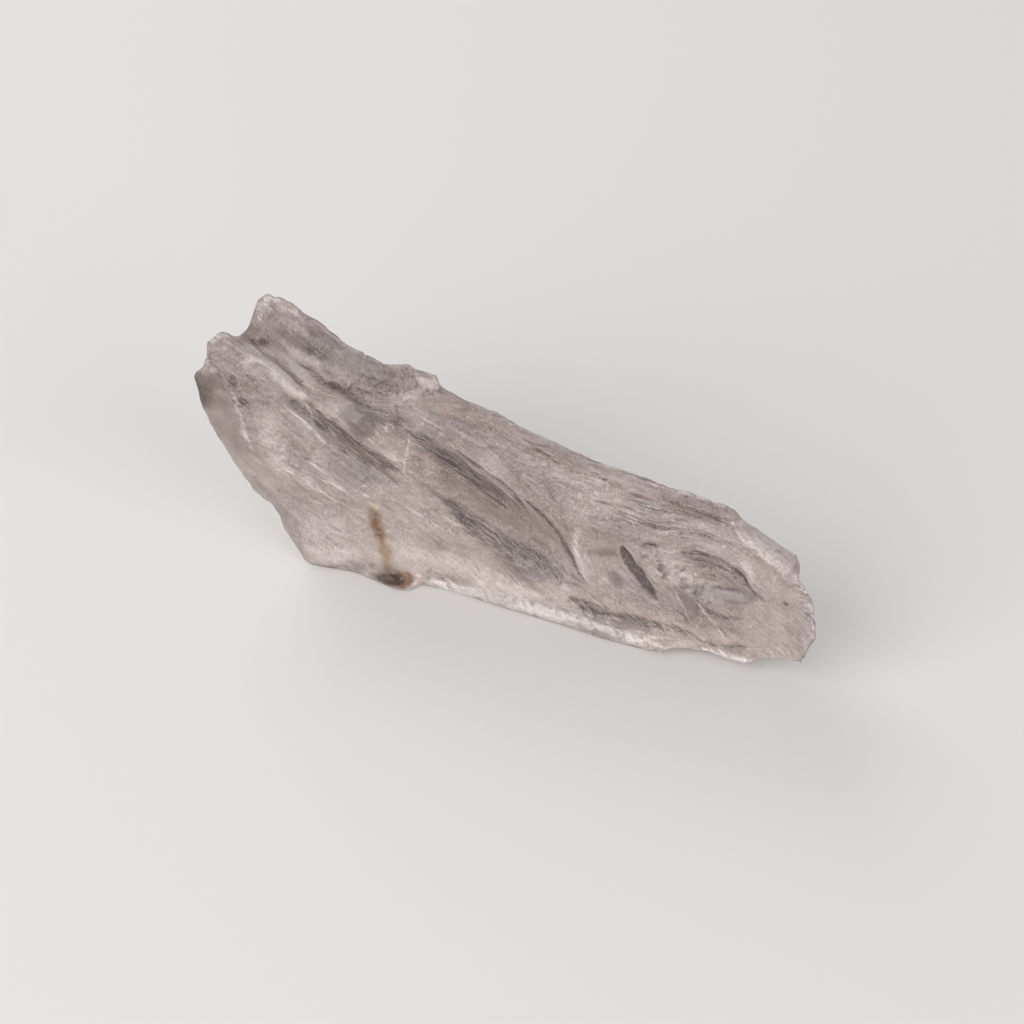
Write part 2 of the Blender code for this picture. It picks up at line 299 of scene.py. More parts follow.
# %% The ripple families
MAIN_TURN = math.radians(-31)          # slope of the ripples on the left and middle of the front
TOP_TURN = math.radians(-4)            # and near the top right
SCOOP_GUIDE = [(-12.0, 20.6), (-8.0, 18.8), (-4.1, 17.4), (-1.5, 15.9), (0.7, 14.5), (3.0, 12.8), (4.5, 11.5),
               (5.8, 10.2), (6.9, 8.6), (8.3, 6.3)]
RIGHT_GUIDE = [(15.0, 12.2), (17.2, 12.8), (19.1, 13.1), (20.5, 12.9), (22.1, 12.3), (23.0, 11.4), (23.8, 10.4),
               (25.0, 9.2)]
GUIDE_REACH, GUIDE_FADE = 4.5, 1.5     # millimetres over which a guide bends the ripples beside it
GUIDE_START, GUIDE_END = 0.12, 0.06    # shares of a guide's length over which its hold grows and fades
NEXT_SCOOP = 40.0                      # keeps the noise of the two scoops apart
CURVED_SEED_STEP = 3.7
TOP_RIGHT_X, TOP_RIGHT_Y = -2.0, 11.5  # where the level ripples begin on the front sheet
TOP_RIGHT_SLOPE = 0.1


def guided(guide, squeeze):
    """Coordinates that run along and across a guide, and the share of each point that follows it."""
    curve = curve_through(guide)
    signed, along = path_distance(front.flat, curve)
    length = sum(np.linalg.norm(end - start) for start, end in zip(curve, curve[1:]))
    follows = ease((GUIDE_REACH - np.abs(signed)) / GUIDE_FADE)
    follows *= ease(along / GUIDE_START) * ease((1.0 - along) / GUIDE_END)
    return along * length, signed / (1.0 - squeeze * along), follows * front_share


scoop_flow = guided(SCOOP_GUIDE, 0.6)
right_flow = guided(RIGHT_GUIDE, 0.2)
right_wins = right_flow[2] > scoop_flow[2]
flow_along = np.where(right_wins, right_flow[0] + NEXT_SCOOP, scoop_flow[0])
flow_across = np.where(right_wins, right_flow[1], scoop_flow[1])
curved = np.maximum(right_flow[2], scoop_flow[2])


def curved_ripple(size, seed, stretch):
    seeds = np.full(len(points), seed * CURVED_SEED_STEP)
    return noise_at(np.column_stack((flow_along / stretch, flow_across, seeds)) / size)


across, up = front.flat[:, 0], front.flat[:, 1]
top_right = ease((across - TOP_RIGHT_X) / 8.0) * ease((up - TOP_RIGHT_Y + TOP_RIGHT_SLOPE * across) / 3.0)
top_right *= front_share
ripple = noise_field(0.40, 1.0, MAIN_TURN, 9.0) + 0.6 * noise_field(0.22, 9.0, MAIN_TURN, 12.0)
ripple_top = 0.55 * noise_field(0.36, 2.0, TOP_TURN, 16.0) + 0.45 * noise_field(0.20, 10.0, TOP_TURN, 18.0)
ripple_curved = curved_ripple(0.38, 3.0, 10.0) + 0.6 * curved_ripple(0.20, 4.0, 14.0)
ripple += (ripple_top - ripple) * top_right
ripple += (ripple_curved - ripple) * curved
lumps = noise_field(1.1, 3.0) + 0.5 * noise_field(0.5, 4.0)
crumbs = noise_field(0.35, 13.0) + 0.6 * noise_field(0.19, 14.0)
cloud = noise_field(3.2, 11.0, MAIN_TURN, 1.8)
print("share of the skin on curved ripples:", round(float(curved.mean()), 3))

# %% [markdown]
# ## Marks of the break
#
# Quartz breaks like glass, in curved scoops. Dark bands are where the surface is smooth
# and clear and shows the depth of the stone. Light bands are frosted or crushed, and
# windows are calm, even places. Every row holds the mark's path or outline, its width
# or rim in millimetres, its tone (below 0 is darker) and its height in millimetres.

# %% Dark streaks
DARK_STREAKS = [
    # between the two prongs
    ([(-23.3, 24.6), (-21.9, 23.4), (-20.2, 22.3), (-18.9, 21.3), (-17.7, 20.9)], 0.5, -0.78, -0.15),
    ([(-19.9, 23.9), (-17.9, 23.1), (-16.4, 22.1), (-14.5, 21.6), (-12.6, 20.7), (-10.5, 20.2)], 0.9, -0.8, -0.18),
    ([(-15.8, 22.5), (-13.9, 22.2), (-11.9, 22.1), (-9.0, 23.1)], 0.55, -0.52, -0.08),
    ([(-18.7, 25.5), (-17.2, 25.1), (-16.2, 24.9)], 0.84, -0.41, -0.05),
    ([(-23.5, 25.1), (-22.6, 24.6), (-22.0, 25.6)], 0.72, -0.47, -0.05),
    # the groove down the left of the face
    ([(-20.6, 19.6), (-18.8, 18.3), (-17.4, 17.4), (-16.0, 16.4)], 0.84, -0.81, -0.15),
    ([(-18.3, 19.3), (-17.2, 18.4), (-16.2, 17.5)], 0.33, -0.65, -0.08),
    ([(-17.3, 18.4), (-16.3, 17.7), (-14.8, 16.6), (-13.3, 15.5), (-11.3, 14.7), (-10.2, 14.2), (-9.1, 13.7)],
     1.05, -0.85, -0.15),
    ([(-15.0, 15.0), (-13.3, 14.3), (-11.6, 13.6)], 1.08, -0.41, -0.05),
    ([(-11.3, 14.2), (-10.6, 13.9)], 0.55, -0.65, -0.05),
    # the main scoop: a broad dark band, fine lines beside it, one of them light, and a second band below
    ([(-8.6, 18.7), (-8.0, 18.4), (-6.4, 17.6), (-4.6, 16.8), (-3.0, 15.8), (-1.1, 14.9), (0.7, 13.9), (2.0, 13.2)],
     1.4, -0.8, -0.12),
    ([(-4.1, 18.1), (-3.0, 17.4), (-1.5, 16.5), (0.7, 15.2), (2.0, 14.0), (3.3, 12.3)], 0.33, -0.65, -0.10),
    ([(-3.2, 16.9), (-1.4, 15.9), (0.6, 14.7), (2.6, 13.1)], 0.25, 0.35, 0.05),
    ([(-2.5, 14.9), (-1.1, 13.7), (1.1, 12.6)], 0.31, -0.65, -0.08),
    ([(-1.7, 14.0), (-0.9, 13.0), (0.1, 12.5)], 0.28, -0.52, -0.06),
    ([(2.4, 14.6), (3.0, 14.0), (4.5, 12.6), (5.8, 11.0), (6.7, 9.2), (7.5, 7.6), (8.3, 6.2)], 0.35, -0.78, -0.10),
    ([(5.8, 10.7), (6.9, 8.8), (8.2, 6.5)], 0.28, -0.45, -0.05),
    ([(5.4, 8.1), (6.8, 7.0), (8.0, 6.3)], 0.33, -0.59, -0.05),
    ([(-6.5, 12.6), (-4.4, 11.5), (-2.4, 10.0), (-0.4, 9.0), (2.2, 7.9), (4.4, 6.9), (6.0, 6.2), (7.5, 5.8)],
     1.8, -0.75, -0.10),
    ([(-1.4, 8.8), (0.6, 8.6), (3.0, 8.3), (5.0, 7.4)], 1.44, -0.41, -0.05),
    ([(-5.0, 11.9), (-4.2, 11.7)], 0.5, -0.78, -0.05),
    # below the scoop's tip and along the bright strip
    ([(6.4, 4.2), (6.8, 4.1), (8.1, 4.2), (9.6, 4.3)], 0.55, -0.78, -0.10),
    ([(7.1, 3.6), (8.5, 3.5), (9.8, 3.4), (11.3, 3.6)], 0.44, -0.52, -0.08),
    ([(9.8, 3.7), (12.9, 3.7), (14.8, 3.7), (16.7, 3.8), (19.0, 3.7)], 0.72, -0.68, -0.10),
    ([(19.0, 3.3), (20.9, 3.2), (23.5, 4.0)], 0.33, -0.39, -0.05),
    ([(13.2, 12.3), (14.0, 12.7), (14.9, 12.9)], 0.5, -0.59, -0.05),
    # fine lines along the top right
    ([(14.5, 18.4), (17.2, 18.1), (18.7, 17.9), (20.3, 17.6), (21.6, 17.2)], 0.45, -0.45, -0.07),
    ([(11.5, 17.2), (13.2, 17.0), (14.5, 17.0), (16.1, 16.9), (18.8, 16.4)], 0.7, -0.22, -0.03),
    ([(10.9, 15.7), (13.2, 15.4), (15.8, 15.3), (18.7, 15.4), (21.3, 15.0)], 0.8, -0.2, -0.02),
    ([(11.5, 14.8), (14.1, 14.8), (17.8, 15.0)], 0.5, -0.25, -0.03),
    ([(8.5, 16.1), (10.6, 16.2), (13.2, 16.3)], 0.28, -0.33, -0.05),
    ([(8.1, 19.4), (11.3, 18.4), (14.5, 17.8)], 0.44, -0.3, -0.04),
    ([(2.4, 21.1), (3.9, 21.0), (5.0, 20.8)], 0.28, -0.22, -0.03),
    ([(3.0, 20.3), (4.0, 20.2), (5.2, 19.7)], 0.28, -0.2, -0.03),
    # the right scoop
    ([(16.6, 12.6), (17.2, 12.8), (19.1, 13.1), (20.5, 12.9), (22.1, 12.3), (23.0, 11.4), (23.6, 10.6)],
     1.0, -0.5, -0.13),
    ([(21.2, 12.6), (22.4, 11.9), (23.2, 11.0), (23.9, 10.2)], 0.44, -0.52, -0.05),
    ([(23.6, 10.5), (24.8, 9.5)], 0.33, -0.45, -0.05),
    ([(17.9, 12.2), (19.3, 12.4), (21.0, 12.3)], 0.28, -0.39, -0.04),
    ([(18.5, 11.5), (19.7, 12.0), (20.8, 12.2)], 0.24, -0.33, -0.04),
    ([(18.9, 10.9), (20.4, 11.3), (21.8, 11.3)], 0.24, -0.26, -0.03),
    ([(20.0, 9.7), (21.1, 9.9), (22.8, 10.2)], 0.31, -0.39, -0.04),
    ([(19.4, 7.4), (19.8, 7.0), (21.3, 6.6), (22.9, 7.1)], 0.44, -0.45, -0.06),
    ([(26.4, 10.3), (26.9, 9.8)], 0.33, -0.65, -0.05),
    # the darker brow of the bevelled facet, and smudges beside it
    ([(-28.4, 18.6), (-27.9, 17.4), (-27.6, 16.0)], 1.3, -0.4, 0.0),
    ([(-25.4, 19.4), (-24.7, 19.6)], 0.96, -0.47, 0.0),
    ([(-24.4, 17.9), (-24.0, 16.7)], 0.96, -0.47, 0.0),
    ([(-23.8, 20.6), (-23.0, 20.2)], 0.72, -0.41, 0.0),
]
print("dark streaks on the front:", len(DARK_STREAKS))

# %% Light streaks
STRIP = [(-7.6, 1.9), (-4.7, 2.1), (0.1, 2.0), (5.8, 2.0), (9.6, 1.8), (13.4, 1.5), (16.6, 1.4)]
LIGHT_STREAKS = [
    (STRIP, 1.0, 0.75, 0.0),
    ([(-23.1, 23.9), (-21.7, 23.1), (-19.6, 21.9), (-17.3, 21.0), (-14.9, 20.6)], 0.35, 0.4, 0.08),
    ([(-20.5, 18.2), (-18.7, 17.0), (-17.4, 16.2), (-15.6, 14.7), (-13.9, 14.1)], 0.3, 0.4, 0.08),
    ([(-20.0, 18.0), (-18.8, 17.0), (-17.1, 15.6), (-15.6, 14.5)], 0.2, 0.6, 0.04),
    ([(-18.3, 19.1), (-17.9, 18.1), (-17.6, 17.0)], 0.15, 0.7, 0.03),
    ([(-16.4, 17.2), (-15.4, 15.9), (-14.3, 14.7)], 0.14, 0.6, 0.03),
    ([(-8.4, 19.6), (-8.5, 17.8), (-8.8, 15.6), (-9.1, 13.7)], 0.14, 0.5, 0.02),
    ([(-21.9, 10.3), (-20.4, 10.8), (-19.0, 10.3), (-17.3, 9.4), (-15.6, 8.7), (-14.0, 8.1)], 0.35, 0.22, 0.03),
    ([(-26.2, 20.0), (-25.3, 18.2), (-24.6, 16.1), (-23.9, 13.1), (-22.7, 10.7)], 0.3, 0.3, 0.03),
    ([(-21.2, 12.3), (-19.6, 11.6), (-17.3, 11.0)], 0.3, 0.25, 0.04),
    ([(-17.3, 11.0), (-15.4, 10.4), (-14.3, 10.0)], 0.3, 0.2, 0.04),
    ([(-18.9, 12.9), (-17.2, 12.0), (-15.5, 11.3)], 0.35, 0.2, 0.04),
    ([(-10.8, 17.8), (-10.4, 19.0), (-9.9, 18.5)], 0.2, 0.5, 0.04),
    ([(-9.8, 10.2), (-7.6, 9.5), (-5.1, 8.6), (-2.7, 8.0)], 0.35, 0.2, 0.04),
    ([(-7.6, 10.8), (-5.7, 10.3), (-3.9, 9.3), (-2.2, 8.9)], 0.35, 0.2, 0.04),
    ([(7.3, 12.6), (7.4, 12.3), (7.2, 10.3), (7.6, 8.8), (8.0, 7.6), (8.5, 6.4)], 0.5, 0.4, 0.10),
    ([(19.0, 2.3), (20.4, 2.4), (21.6, 2.4), (23.2, 2.4), (24.4, 2.4)], 0.45, 0.6, 0.03),
    ([(21.4, 18.2), (21.6, 17.9), (22.8, 15.6), (23.9, 15.4), (24.8, 15.3)], 0.22, 0.4, 0.06),
    ([(16.5, 8.4), (17.1, 7.1), (17.8, 5.5), (18.2, 4.7)], 0.2, 0.5, 0.03),
    ([(17.8, 8.3), (18.9, 7.3), (20.1, 5.8), (21.0, 4.7), (21.5, 3.7)], 0.2, 0.5, 0.04),
    ([(19.2, 7.3), (19.1, 6.2), (18.9, 4.7)], 0.16, 0.3, 0.03),
    ([(-2.6, 23.8), (0.2, 23.1), (3.9, 22.0), (7.6, 20.9), (11.3, 20.2), (14.9, 19.9), (18.6, 19.5), (21.4, 19.1)],
     0.5, 0.3, 0.0),
    ([(-27.4, 22.8), (-26.6, 23.8), (-25.6, 24.6), (-24.3, 24.6)], 0.5, 0.35, 0.0),
    ([(-22.8, 26.8), (-22.6, 28.1), (-22.3, 29.1), (-21.5, 30.1), (-20.4, 29.8), (-17.2, 27.6)], 0.45, 0.35, 0.0),
    ([(27.8, 14.2), (27.4, 13.0), (28.4, 11.5), (29.2, 8.6), (28.6, 5.6)], 0.6, 0.12, 0.0),
    ([(-12.9, 12.2), (-12.8, 10.6), (-12.4, 10.0)], 0.4, 0.35, 0.0),
]
print("light streaks on the front:", len(LIGHT_STREAKS))

# %% Patches: the nick, the chip, crushed and frosted places, and painted shade on the far prong
NICK = [(11.4, 12.0), (11.9, 11.7), (12.5, 10.9), (13.2, 10.0), (14.0, 8.9), (14.6, 7.8), (14.9, 6.5), (14.1, 7.1),
        (13.3, 7.8), (12.5, 8.8), (11.8, 10.0), (11.3, 11.1)]
CRUSHED = [(-23.5, 23.2), (-22.0, 23.1), (-20.2, 22.4), (-18.3, 20.6), (-18.4, 19.3), (-20.1, 19.7), (-21.5, 21.1),
           (-22.3, 22.1), (-24.1, 21.7)]
DARK_PATCH = [(-10.5, 20.1), (-8.8, 20.7), (-7.9, 20.1), (-8.2, 17.8), (-9.5, 17.5), (-10.4, 18.6)]
CHIP = [(-7.9, 25.5), (-6.8, 25.6), (-5.7, 25.5), (-5.4, 24.6), (-6.4, 24.0), (-7.5, 24.3)]
# painted shade: the far prong's upward faces are made darker
FAR_PRONG_PAINTED_SHADE = [(-21.0, 28.0), (-17.0, 26.6), (-13.0, 24.6), (-11.0, 23.6), (-14.0, 23.4), (-18.0, 24.6), (-21.5, 26.0)]
PIT_FIELD = [(12.6, 11.6), (14.3, 13.1), (16.7, 13.6), (17.9, 12.2), (19.3, 10.9), (20.0, 9.2), (19.5, 7.4),
             (18.0, 7.7), (16.7, 8.4), (15.5, 8.6), (14.4, 7.9), (13.8, 9.2), (13.1, 10.5)]
PLATEAU = [(-1.0, 20.0), (3.0, 19.4), (8.0, 17.0), (7.0, 13.0), (4.2, 14.2), (1.0, 16.8)]
RIM = [(21.8, 18.0), (22.5, 18.5), (23.4, 18.2), (24.6, 17.7), (26.4, 16.8), (27.6, 15.7), (27.6, 14.4), (27.0, 13.2),
       (25.6, 13.3), (24.2, 14.4), (23.1, 15.2), (22.2, 16.1)]
RIGHT_END = [(22.6, 15.4), (25.1, 14.5), (27.0, 13.9), (28.4, 12.3), (29.6, 8.4), (29.3, 5.6), (27.8, 4.0), (25.5, 3.5),
             (23.2, 4.5), (21.3, 5.8), (21.6, 7.4), (24.4, 9.5), (23.6, 12.0)]
LOWER_LEFT = [(-19.1, 7.7), (-14.7, 8.5), (-9.4, 6.6), (-2.7, 5.8), (2.0, 4.9), (-2.7, 3.7), (-7.5, 3.0), (-12.4, 2.0),
              (-16.8, 1.2), (-18.6, 3.8)]
PITS = [
    [(14.7, 11.0), (15.5, 11.2), (15.8, 10.6), (15.3, 9.9), (14.8, 10.0)],
    [(15.0, 9.8), (15.7, 10.0), (15.9, 9.4), (15.2, 9.0)],
    [(16.9, 9.9), (17.7, 10.2), (17.9, 9.1), (17.4, 8.4), (16.9, 8.7)],
    [(17.9, 9.6), (19.1, 10.0), (19.3, 8.8), (18.6, 8.1), (18.0, 8.4)],
    [(12.9, 11.5), (13.9, 11.8), (14.1, 11.1), (13.3, 10.7)],
    [(16.6, 10.9), (17.5, 11.3), (17.7, 10.8), (16.9, 10.3)],
]
PATCHES = [
    (NICK, 0.22, -1.2, -0.45), (CRUSHED, 0.5, 0.45, 0.08), (DARK_PATCH, 0.7, -0.2, -0.08), (CHIP, 0.3, 0.45, 0.05),
    (FAR_PRONG_PAINTED_SHADE, 1.0, -0.35, 0.0), (PIT_FIELD, 0.9, 0.12, 0.03), (PLATEAU, 1.5, 0.05, 0.0), (RIM, 0.5, 0.42, 0.0),
    (RIGHT_END, 2.5, 0.12, 0.0), (LOWER_LEFT, 1.5, 0.12, 0.0),
]
print("patches:", len(PATCHES), "and pits:", len(PITS))

# %% Broad shades, with no relief of their own
# outline, rim, tone
SHADES = [
    # the whole main scoop, and the slope on its left
    ([(-5.7, 18.2), (-2.7, 16.4), (1.1, 14.5), (4.6, 12.4), (6.0, 10.0), (6.8, 7.6), (6.6, 5.9), (5.0, 4.7), (3.0, 4.3),
      (-0.8, 5.9), (-4.6, 10.2), (-5.9, 12.3), (-6.6, 15.1)], 1.6, -0.25),
    ([(-8.5, 17.8), (-6.6, 17.2), (-6.1, 15.1), (-5.5, 12.4), (-7.0, 11.4), (-8.2, 12.2), (-9.1, 14.7)], 1.4, -0.3),
    # the groove's head and foot
    ([(-17.6, 17.5), (-15.9, 17.2), (-14.2, 15.8), (-14.5, 13.4), (-16.0, 13.5), (-17.1, 15.2)], 0.8, -0.45),
    ([(-14.1, 14.3), (-11.2, 14.2), (-9.0, 12.9), (-10.5, 11.7), (-13.2, 11.8)], 0.8, -0.35),
    ([(-17.4, 14.0), (-14.2, 14.4), (-12.0, 13.2), (-12.4, 10.4), (-14.6, 10.6), (-16.8, 11.8)], 1.2, -0.25),
    # the far face of the far prong, darkened as painted shade, and the foot of the ridge behind the scoop
    ([(-18.5, 28.2), (-13.6, 26.9), (-9.2, 25.6), (-10.3, 23.7), (-13.4, 23.7), (-15.3, 24.5), (-17.4, 25.4)],
     1.0, -0.5),
    ([(-14.4, 24.4), (-10.0, 24.4), (-9.6, 23.0), (-12.0, 22.4), (-14.8, 23.0)], 0.8, -0.3),
    ([(-7.3, 21.9), (-4.5, 22.2), (-1.0, 20.9), (-1.7, 19.5), (-4.5, 20.0), (-6.9, 20.6)], 0.8, -0.25),
    # the brow and the border of the bevelled facet
    ([(-29.4, 19.6), (-26.9, 20.1), (-24.3, 20.1), (-24.9, 18.1), (-26.9, 17.3), (-27.7, 14.9), (-29.2, 15.7)],
     0.8, -0.35),
    # above the bright strip, and the floor of the right end
    ([(7.5, 4.3), (11.5, 4.9), (15.2, 4.5), (19.0, 4.0), (23.4, 4.5), (23.2, 2.8), (19.0, 2.4), (14.3, 2.1), (9.6, 2.1),
      (7.1, 2.8)], 0.9, -0.4),
    ([(13.3, 8.5), (17.9, 9.9), (22.7, 9.2), (22.9, 4.6), (18.1, 4.0), (14.3, 4.7), (11.5, 5.6)], 1.5, -0.15),
    # frosted places
    ([(-24.5, 24.6), (-22.2, 24.8), (-19.5, 24.5), (-16.9, 25.0), (-16.2, 21.7), (-18.5, 20.3), (-20.4, 22.6),
      (-24.1, 23.1)], 0.9, 0.38),
    ([(-23.9, 16.9), (-21.2, 18.3), (-19.1, 18.0), (-19.4, 14.5), (-17.6, 11.6), (-16.4, 10.1), (-19.0, 9.3),
      (-22.7, 10.1), (-23.8, 13.2)], 2.2, 0.28),
    ([(-19.5, 6.4), (-14.2, 8.0), (-12.3, 5.1), (-13.7, 1.3), (-17.8, 0.3), (-19.3, 2.9)], 2.0, 0.12),
    ([(22.2, 13.8), (23.5, 13.8), (24.0, 11.8), (23.5, 10.1), (22.7, 10.9)], 0.5, 0.3),
    ([(-2.7, 4.1), (0.1, 4.3), (3.9, 4.1), (3.5, 2.7), (0.1, 2.3), (-2.7, 2.5)], 0.6, 0.35),
    ([(5.4, 16.5), (8.5, 17.7), (12.2, 17.3), (15.9, 17.5), (19.1, 17.1), (19.8, 15.1), (16.9, 13.6), (13.2, 14.0),
      (9.5, 12.5), (6.3, 12.3)], 1.5, 0.22),
    # smaller darker places
    ([(-12.0, 21.8), (-9.2, 22.6), (-8.9, 19.0), (-11.6, 18.5)], 0.8, -0.3),
    ([(-6.9, 16.5), (-4.1, 16.6), (-3.8, 11.8), (-6.5, 11.5)], 1.0, -0.2),
    ([(-26.2, 19.3), (-21.8, 20.4), (-21.4, 18.9), (-25.9, 17.6)], 0.7, -0.2),
    ([(0.1, 7.5), (4.4, 8.0), (4.7, 5.1), (0.6, 4.1)], 1.0, -0.2),
    ([(18.3, 9.5), (19.4, 9.8), (19.5, 6.4), (18.4, 6.1)], 0.4, -0.2),
    ([(13.2, 17.0), (18.6, 18.3), (18.7, 16.4), (13.2, 14.9)], 0.8, -0.1),
    ([(-18.6, 29.5), (-15.2, 28.6), (-15.6, 23.3), (-18.6, 22.9)], 1.0, -0.2),
    ([(21.6, 3.0), (23.8, 3.5), (23.7, 2.3), (21.7, 1.9)], 0.4, -0.2),
    ([(-28.4, 17.2), (-23.1, 18.8), (-16.8, 20.3), (-17.0, 18.4), (-23.1, 16.8), (-28.2, 15.3)], 0.7, -0.15),
    ([(-19.9, 24.3), (-18.4, 24.3), (-18.3, 22.7), (-19.6, 22.6)], 0.5, -0.2),
    ([(-19.4, 29.8), (-15.6, 29.2), (-13.6, 27.6), (-14.3, 26.1), (-17.6, 26.8), (-19.6, 28.1)], 0.8, -0.15),
    ([(-21.6, 12.9), (-18.9, 12.9), (-18.8, 10.1), (-20.4, 9.8)], 0.8, -0.2),
    ([(-13.9, 15.0), (-10.4, 14.7), (-10.1, 13.0), (-13.2, 12.5)], 0.7, -0.15),
    ([(-5.7, 9.7), (-3.1, 10.3), (0.1, 8.4), (2.0, 7.3), (0.1, 7.1), (-2.7, 7.9), (-5.6, 7.9)], 0.7, -0.2),
    ([(-1.3, 7.4), (1.6, 7.9), (3.5, 6.0), (0.1, 5.3)], 0.6, -0.12),
    ([(5.8, 12.5), (7.8, 12.7), (7.7, 10.4), (6.0, 10.1)], 0.6, -0.12),
    ([(8.1, 15.4), (11.8, 16.2), (11.7, 14.3), (8.4, 13.4)], 0.8, -0.12),
    ([(12.8, 17.2), (15.5, 17.6), (18.7, 17.7), (18.5, 16.5), (15.0, 15.9), (13.0, 15.7)], 0.6, -0.12),
    ([(17.7, 10.5), (19.6, 10.5), (20.1, 5.4), (18.4, 5.2)], 0.6, -0.18),
    ([(20.5, 12.1), (23.2, 11.6), (23.1, 10.2), (20.7, 10.4)], 0.5, -0.15),
    ([(16.4, 2.2), (20.1, 3.1), (20.2, 2.0), (16.6, 0.8)], 0.4, -0.15),
    ([(20.8, 5.7), (22.7, 5.9), (22.5, 4.5), (21.0, 4.2)], 0.5, -0.12),
    # smaller lighter places
    ([(-25.5, 11.7), (-23.0, 11.7), (-22.7, 9.1), (-24.6, 9.5)], 0.7, 0.18),
    ([(-19.1, 12.1), (-17.2, 11.7), (-16.9, 9.3), (-18.6, 9.5)], 0.6, 0.18),
    ([(-20.1, 6.8), (-17.3, 7.3), (-17.2, 2.4), (-19.2, 1.5)], 0.8, 0.15),
    ([(-15.8, 21.4), (-12.5, 21.7), (-12.8, 20.5), (-15.7, 20.1)], 0.5, 0.15),
    ([(-16.1, 18.7), (-14.0, 18.6), (-14.0, 16.8), (-15.6, 16.8)], 0.6, 0.18),
    ([(-12.9, 16.0), (-9.5, 16.3), (-9.3, 14.1), (-12.4, 14.1)], 0.6, 0.12),
    ([(-8.7, 18.6), (-5.9, 18.6), (-5.5, 17.1), (-8.3, 16.9)], 0.6, 0.22),
    ([(-4.2, 19.1), (1.1, 18.6), (1.6, 12.3), (-0.8, 11.9), (-3.4, 15.9)], 1.0, 0.13),
    ([(-9.9, 9.6), (-6.5, 9.7), (-5.8, 7.8), (-9.2, 7.7)], 0.6, 0.18),
    ([(0.5, 22.3), (4.4, 21.6), (4.6, 20.6), (0.9, 20.6)], 0.6, 0.18),
    ([(8.1, 20.3), (13.6, 19.5), (15.0, 18.7), (13.2, 17.6), (8.5, 18.2)], 0.6, 0.22),
    ([(13.2, 14.7), (15.8, 15.0), (15.4, 13.2), (13.2, 12.5)], 0.5, 0.15),
    ([(10.9, 12.3), (13.4, 12.5), (15.1, 11.4), (13.3, 10.5), (11.0, 10.8)], 0.6, 0.2),
    ([(14.7, 12.9), (18.7, 14.8), (22.9, 14.9), (25.0, 12.8), (22.9, 12.1), (18.8, 12.5), (15.5, 10.3)], 0.6, 0.2),
    ([(4.1, 7.9), (8.8, 9.8), (8.6, 6.8), (4.5, 5.2)], 0.7, 0.15),
    ([(10.4, 4.9), (13.3, 5.5), (13.4, 3.6), (10.8, 3.0)], 0.5, 0.15),
    ([(26.3, 11.7), (28.5, 11.9), (28.6, 8.8), (26.8, 8.4)], 0.6, 0.12),
    ([(22.5, 5.4), (25.0, 5.7), (24.9, 3.9), (22.7, 3.4)], 0.5, 0.12),
    ([(21.2, 19.1), (22.8, 19.2), (22.7, 17.3), (21.4, 17.2)], 0.4, 0.18),
    ([(-23.8, 11.7), (-19.7, 12.4), (-19.2, 9.0), (-22.7, 8.0)], 0.8, 0.2),
    ([(-18.9, 2.7), (-14.3, 3.6), (-14.5, 1.4), (-18.5, 0.4)], 0.7, 0.25),
    ([(-12.3, 15.7), (-9.7, 16.3), (-9.7, 14.5), (-12.2, 13.8)], 0.7, 0.15),
    ([(-2.3, 18.7), (0.3, 19.1), (0.1, 13.6), (-2.1, 13.1)], 0.8, 0.15),
    ([(11.4, 12.5), (13.2, 13.0), (13.2, 11.8), (11.4, 11.2)], 0.5, 0.2),
    ([(-24.3, 24.3), (-18.6, 25.4), (-18.5, 21.6), (-24.3, 20.1)], 1.0, 0.15),
    ([(9.0, 19.2), (11.8, 19.8), (11.7, 18.7), (9.1, 18.0)], 0.6, 0.15),
    ([(22.5, 12.7), (27.9, 14.2), (28.1, 9.7), (22.8, 8.3)], 1.2, 0.1),
]
print("shades:", len(SHADES))

# %% Windows, where the stone is calm and clear
BEVEL = [(-28.8, 19.2), (-26.7, 20.2), (-26.0, 18.6), (-25.2, 16.7), (-24.6, 14.4), (-23.4, 12.7), (-21.3, 12.1),
         (-19.0, 10.3), (-17.3, 8.9), (-19.0, 7.9), (-22.0, 8.0), (-24.2, 9.6), (-26.2, 11.8), (-28.0, 15.4)]
ISLAND = [(-15.7, 18.9), (-14.6, 20.2), (-13.2, 20.9), (-11.6, 20.4), (-11.1, 18.8), (-11.8, 17.0), (-13.3, 16.3),
          (-14.6, 17.3)]
SCOOP_FLOOR = [(-4.6, 12.9), (-2.2, 13.0), (0.3, 12.5), (2.6, 11.6), (4.6, 10.0), (6.0, 8.4), (3.6, 9.6), (1.0, 10.6),
               (-2.0, 11.4)]
BEIGE_WINDOW = [(8.1, 10.7), (9.7, 11.5), (11.3, 11.5), (11.6, 10.5), (9.5, 9.7), (8.3, 9.6)]
BLUE_WINDOW = [(9.9, 8.3), (10.9, 9.0), (12.0, 8.5), (12.0, 6.9), (10.7, 6.7)]
STEP = [(7.0, 11.6), (7.9, 11.8), (8.0, 10.0), (8.6, 8.2), (9.4, 6.8), (9.2, 5.8), (8.4, 5.9), (7.8, 7.6), (7.2, 9.2)]
TRIANGLE = [(16.6, 8.1), (17.4, 8.4), (18.8, 7.9), (18.8, 5.9), (18.0, 4.8), (17.3, 4.9), (16.9, 6.6)]
SCOOP_WINDOW = [(18.9, 9.6), (20.4, 10.4), (22.4, 10.9), (23.8, 10.9), (24.4, 9.9), (23.7, 8.6), (22.1, 8.0),
                (20.6, 8.0), (19.4, 8.4)]
LOW_WINDOW = [(-6.5, 7.3), (-4.8, 7.4), (-4.4, 6.2), (-6.0, 5.6)]
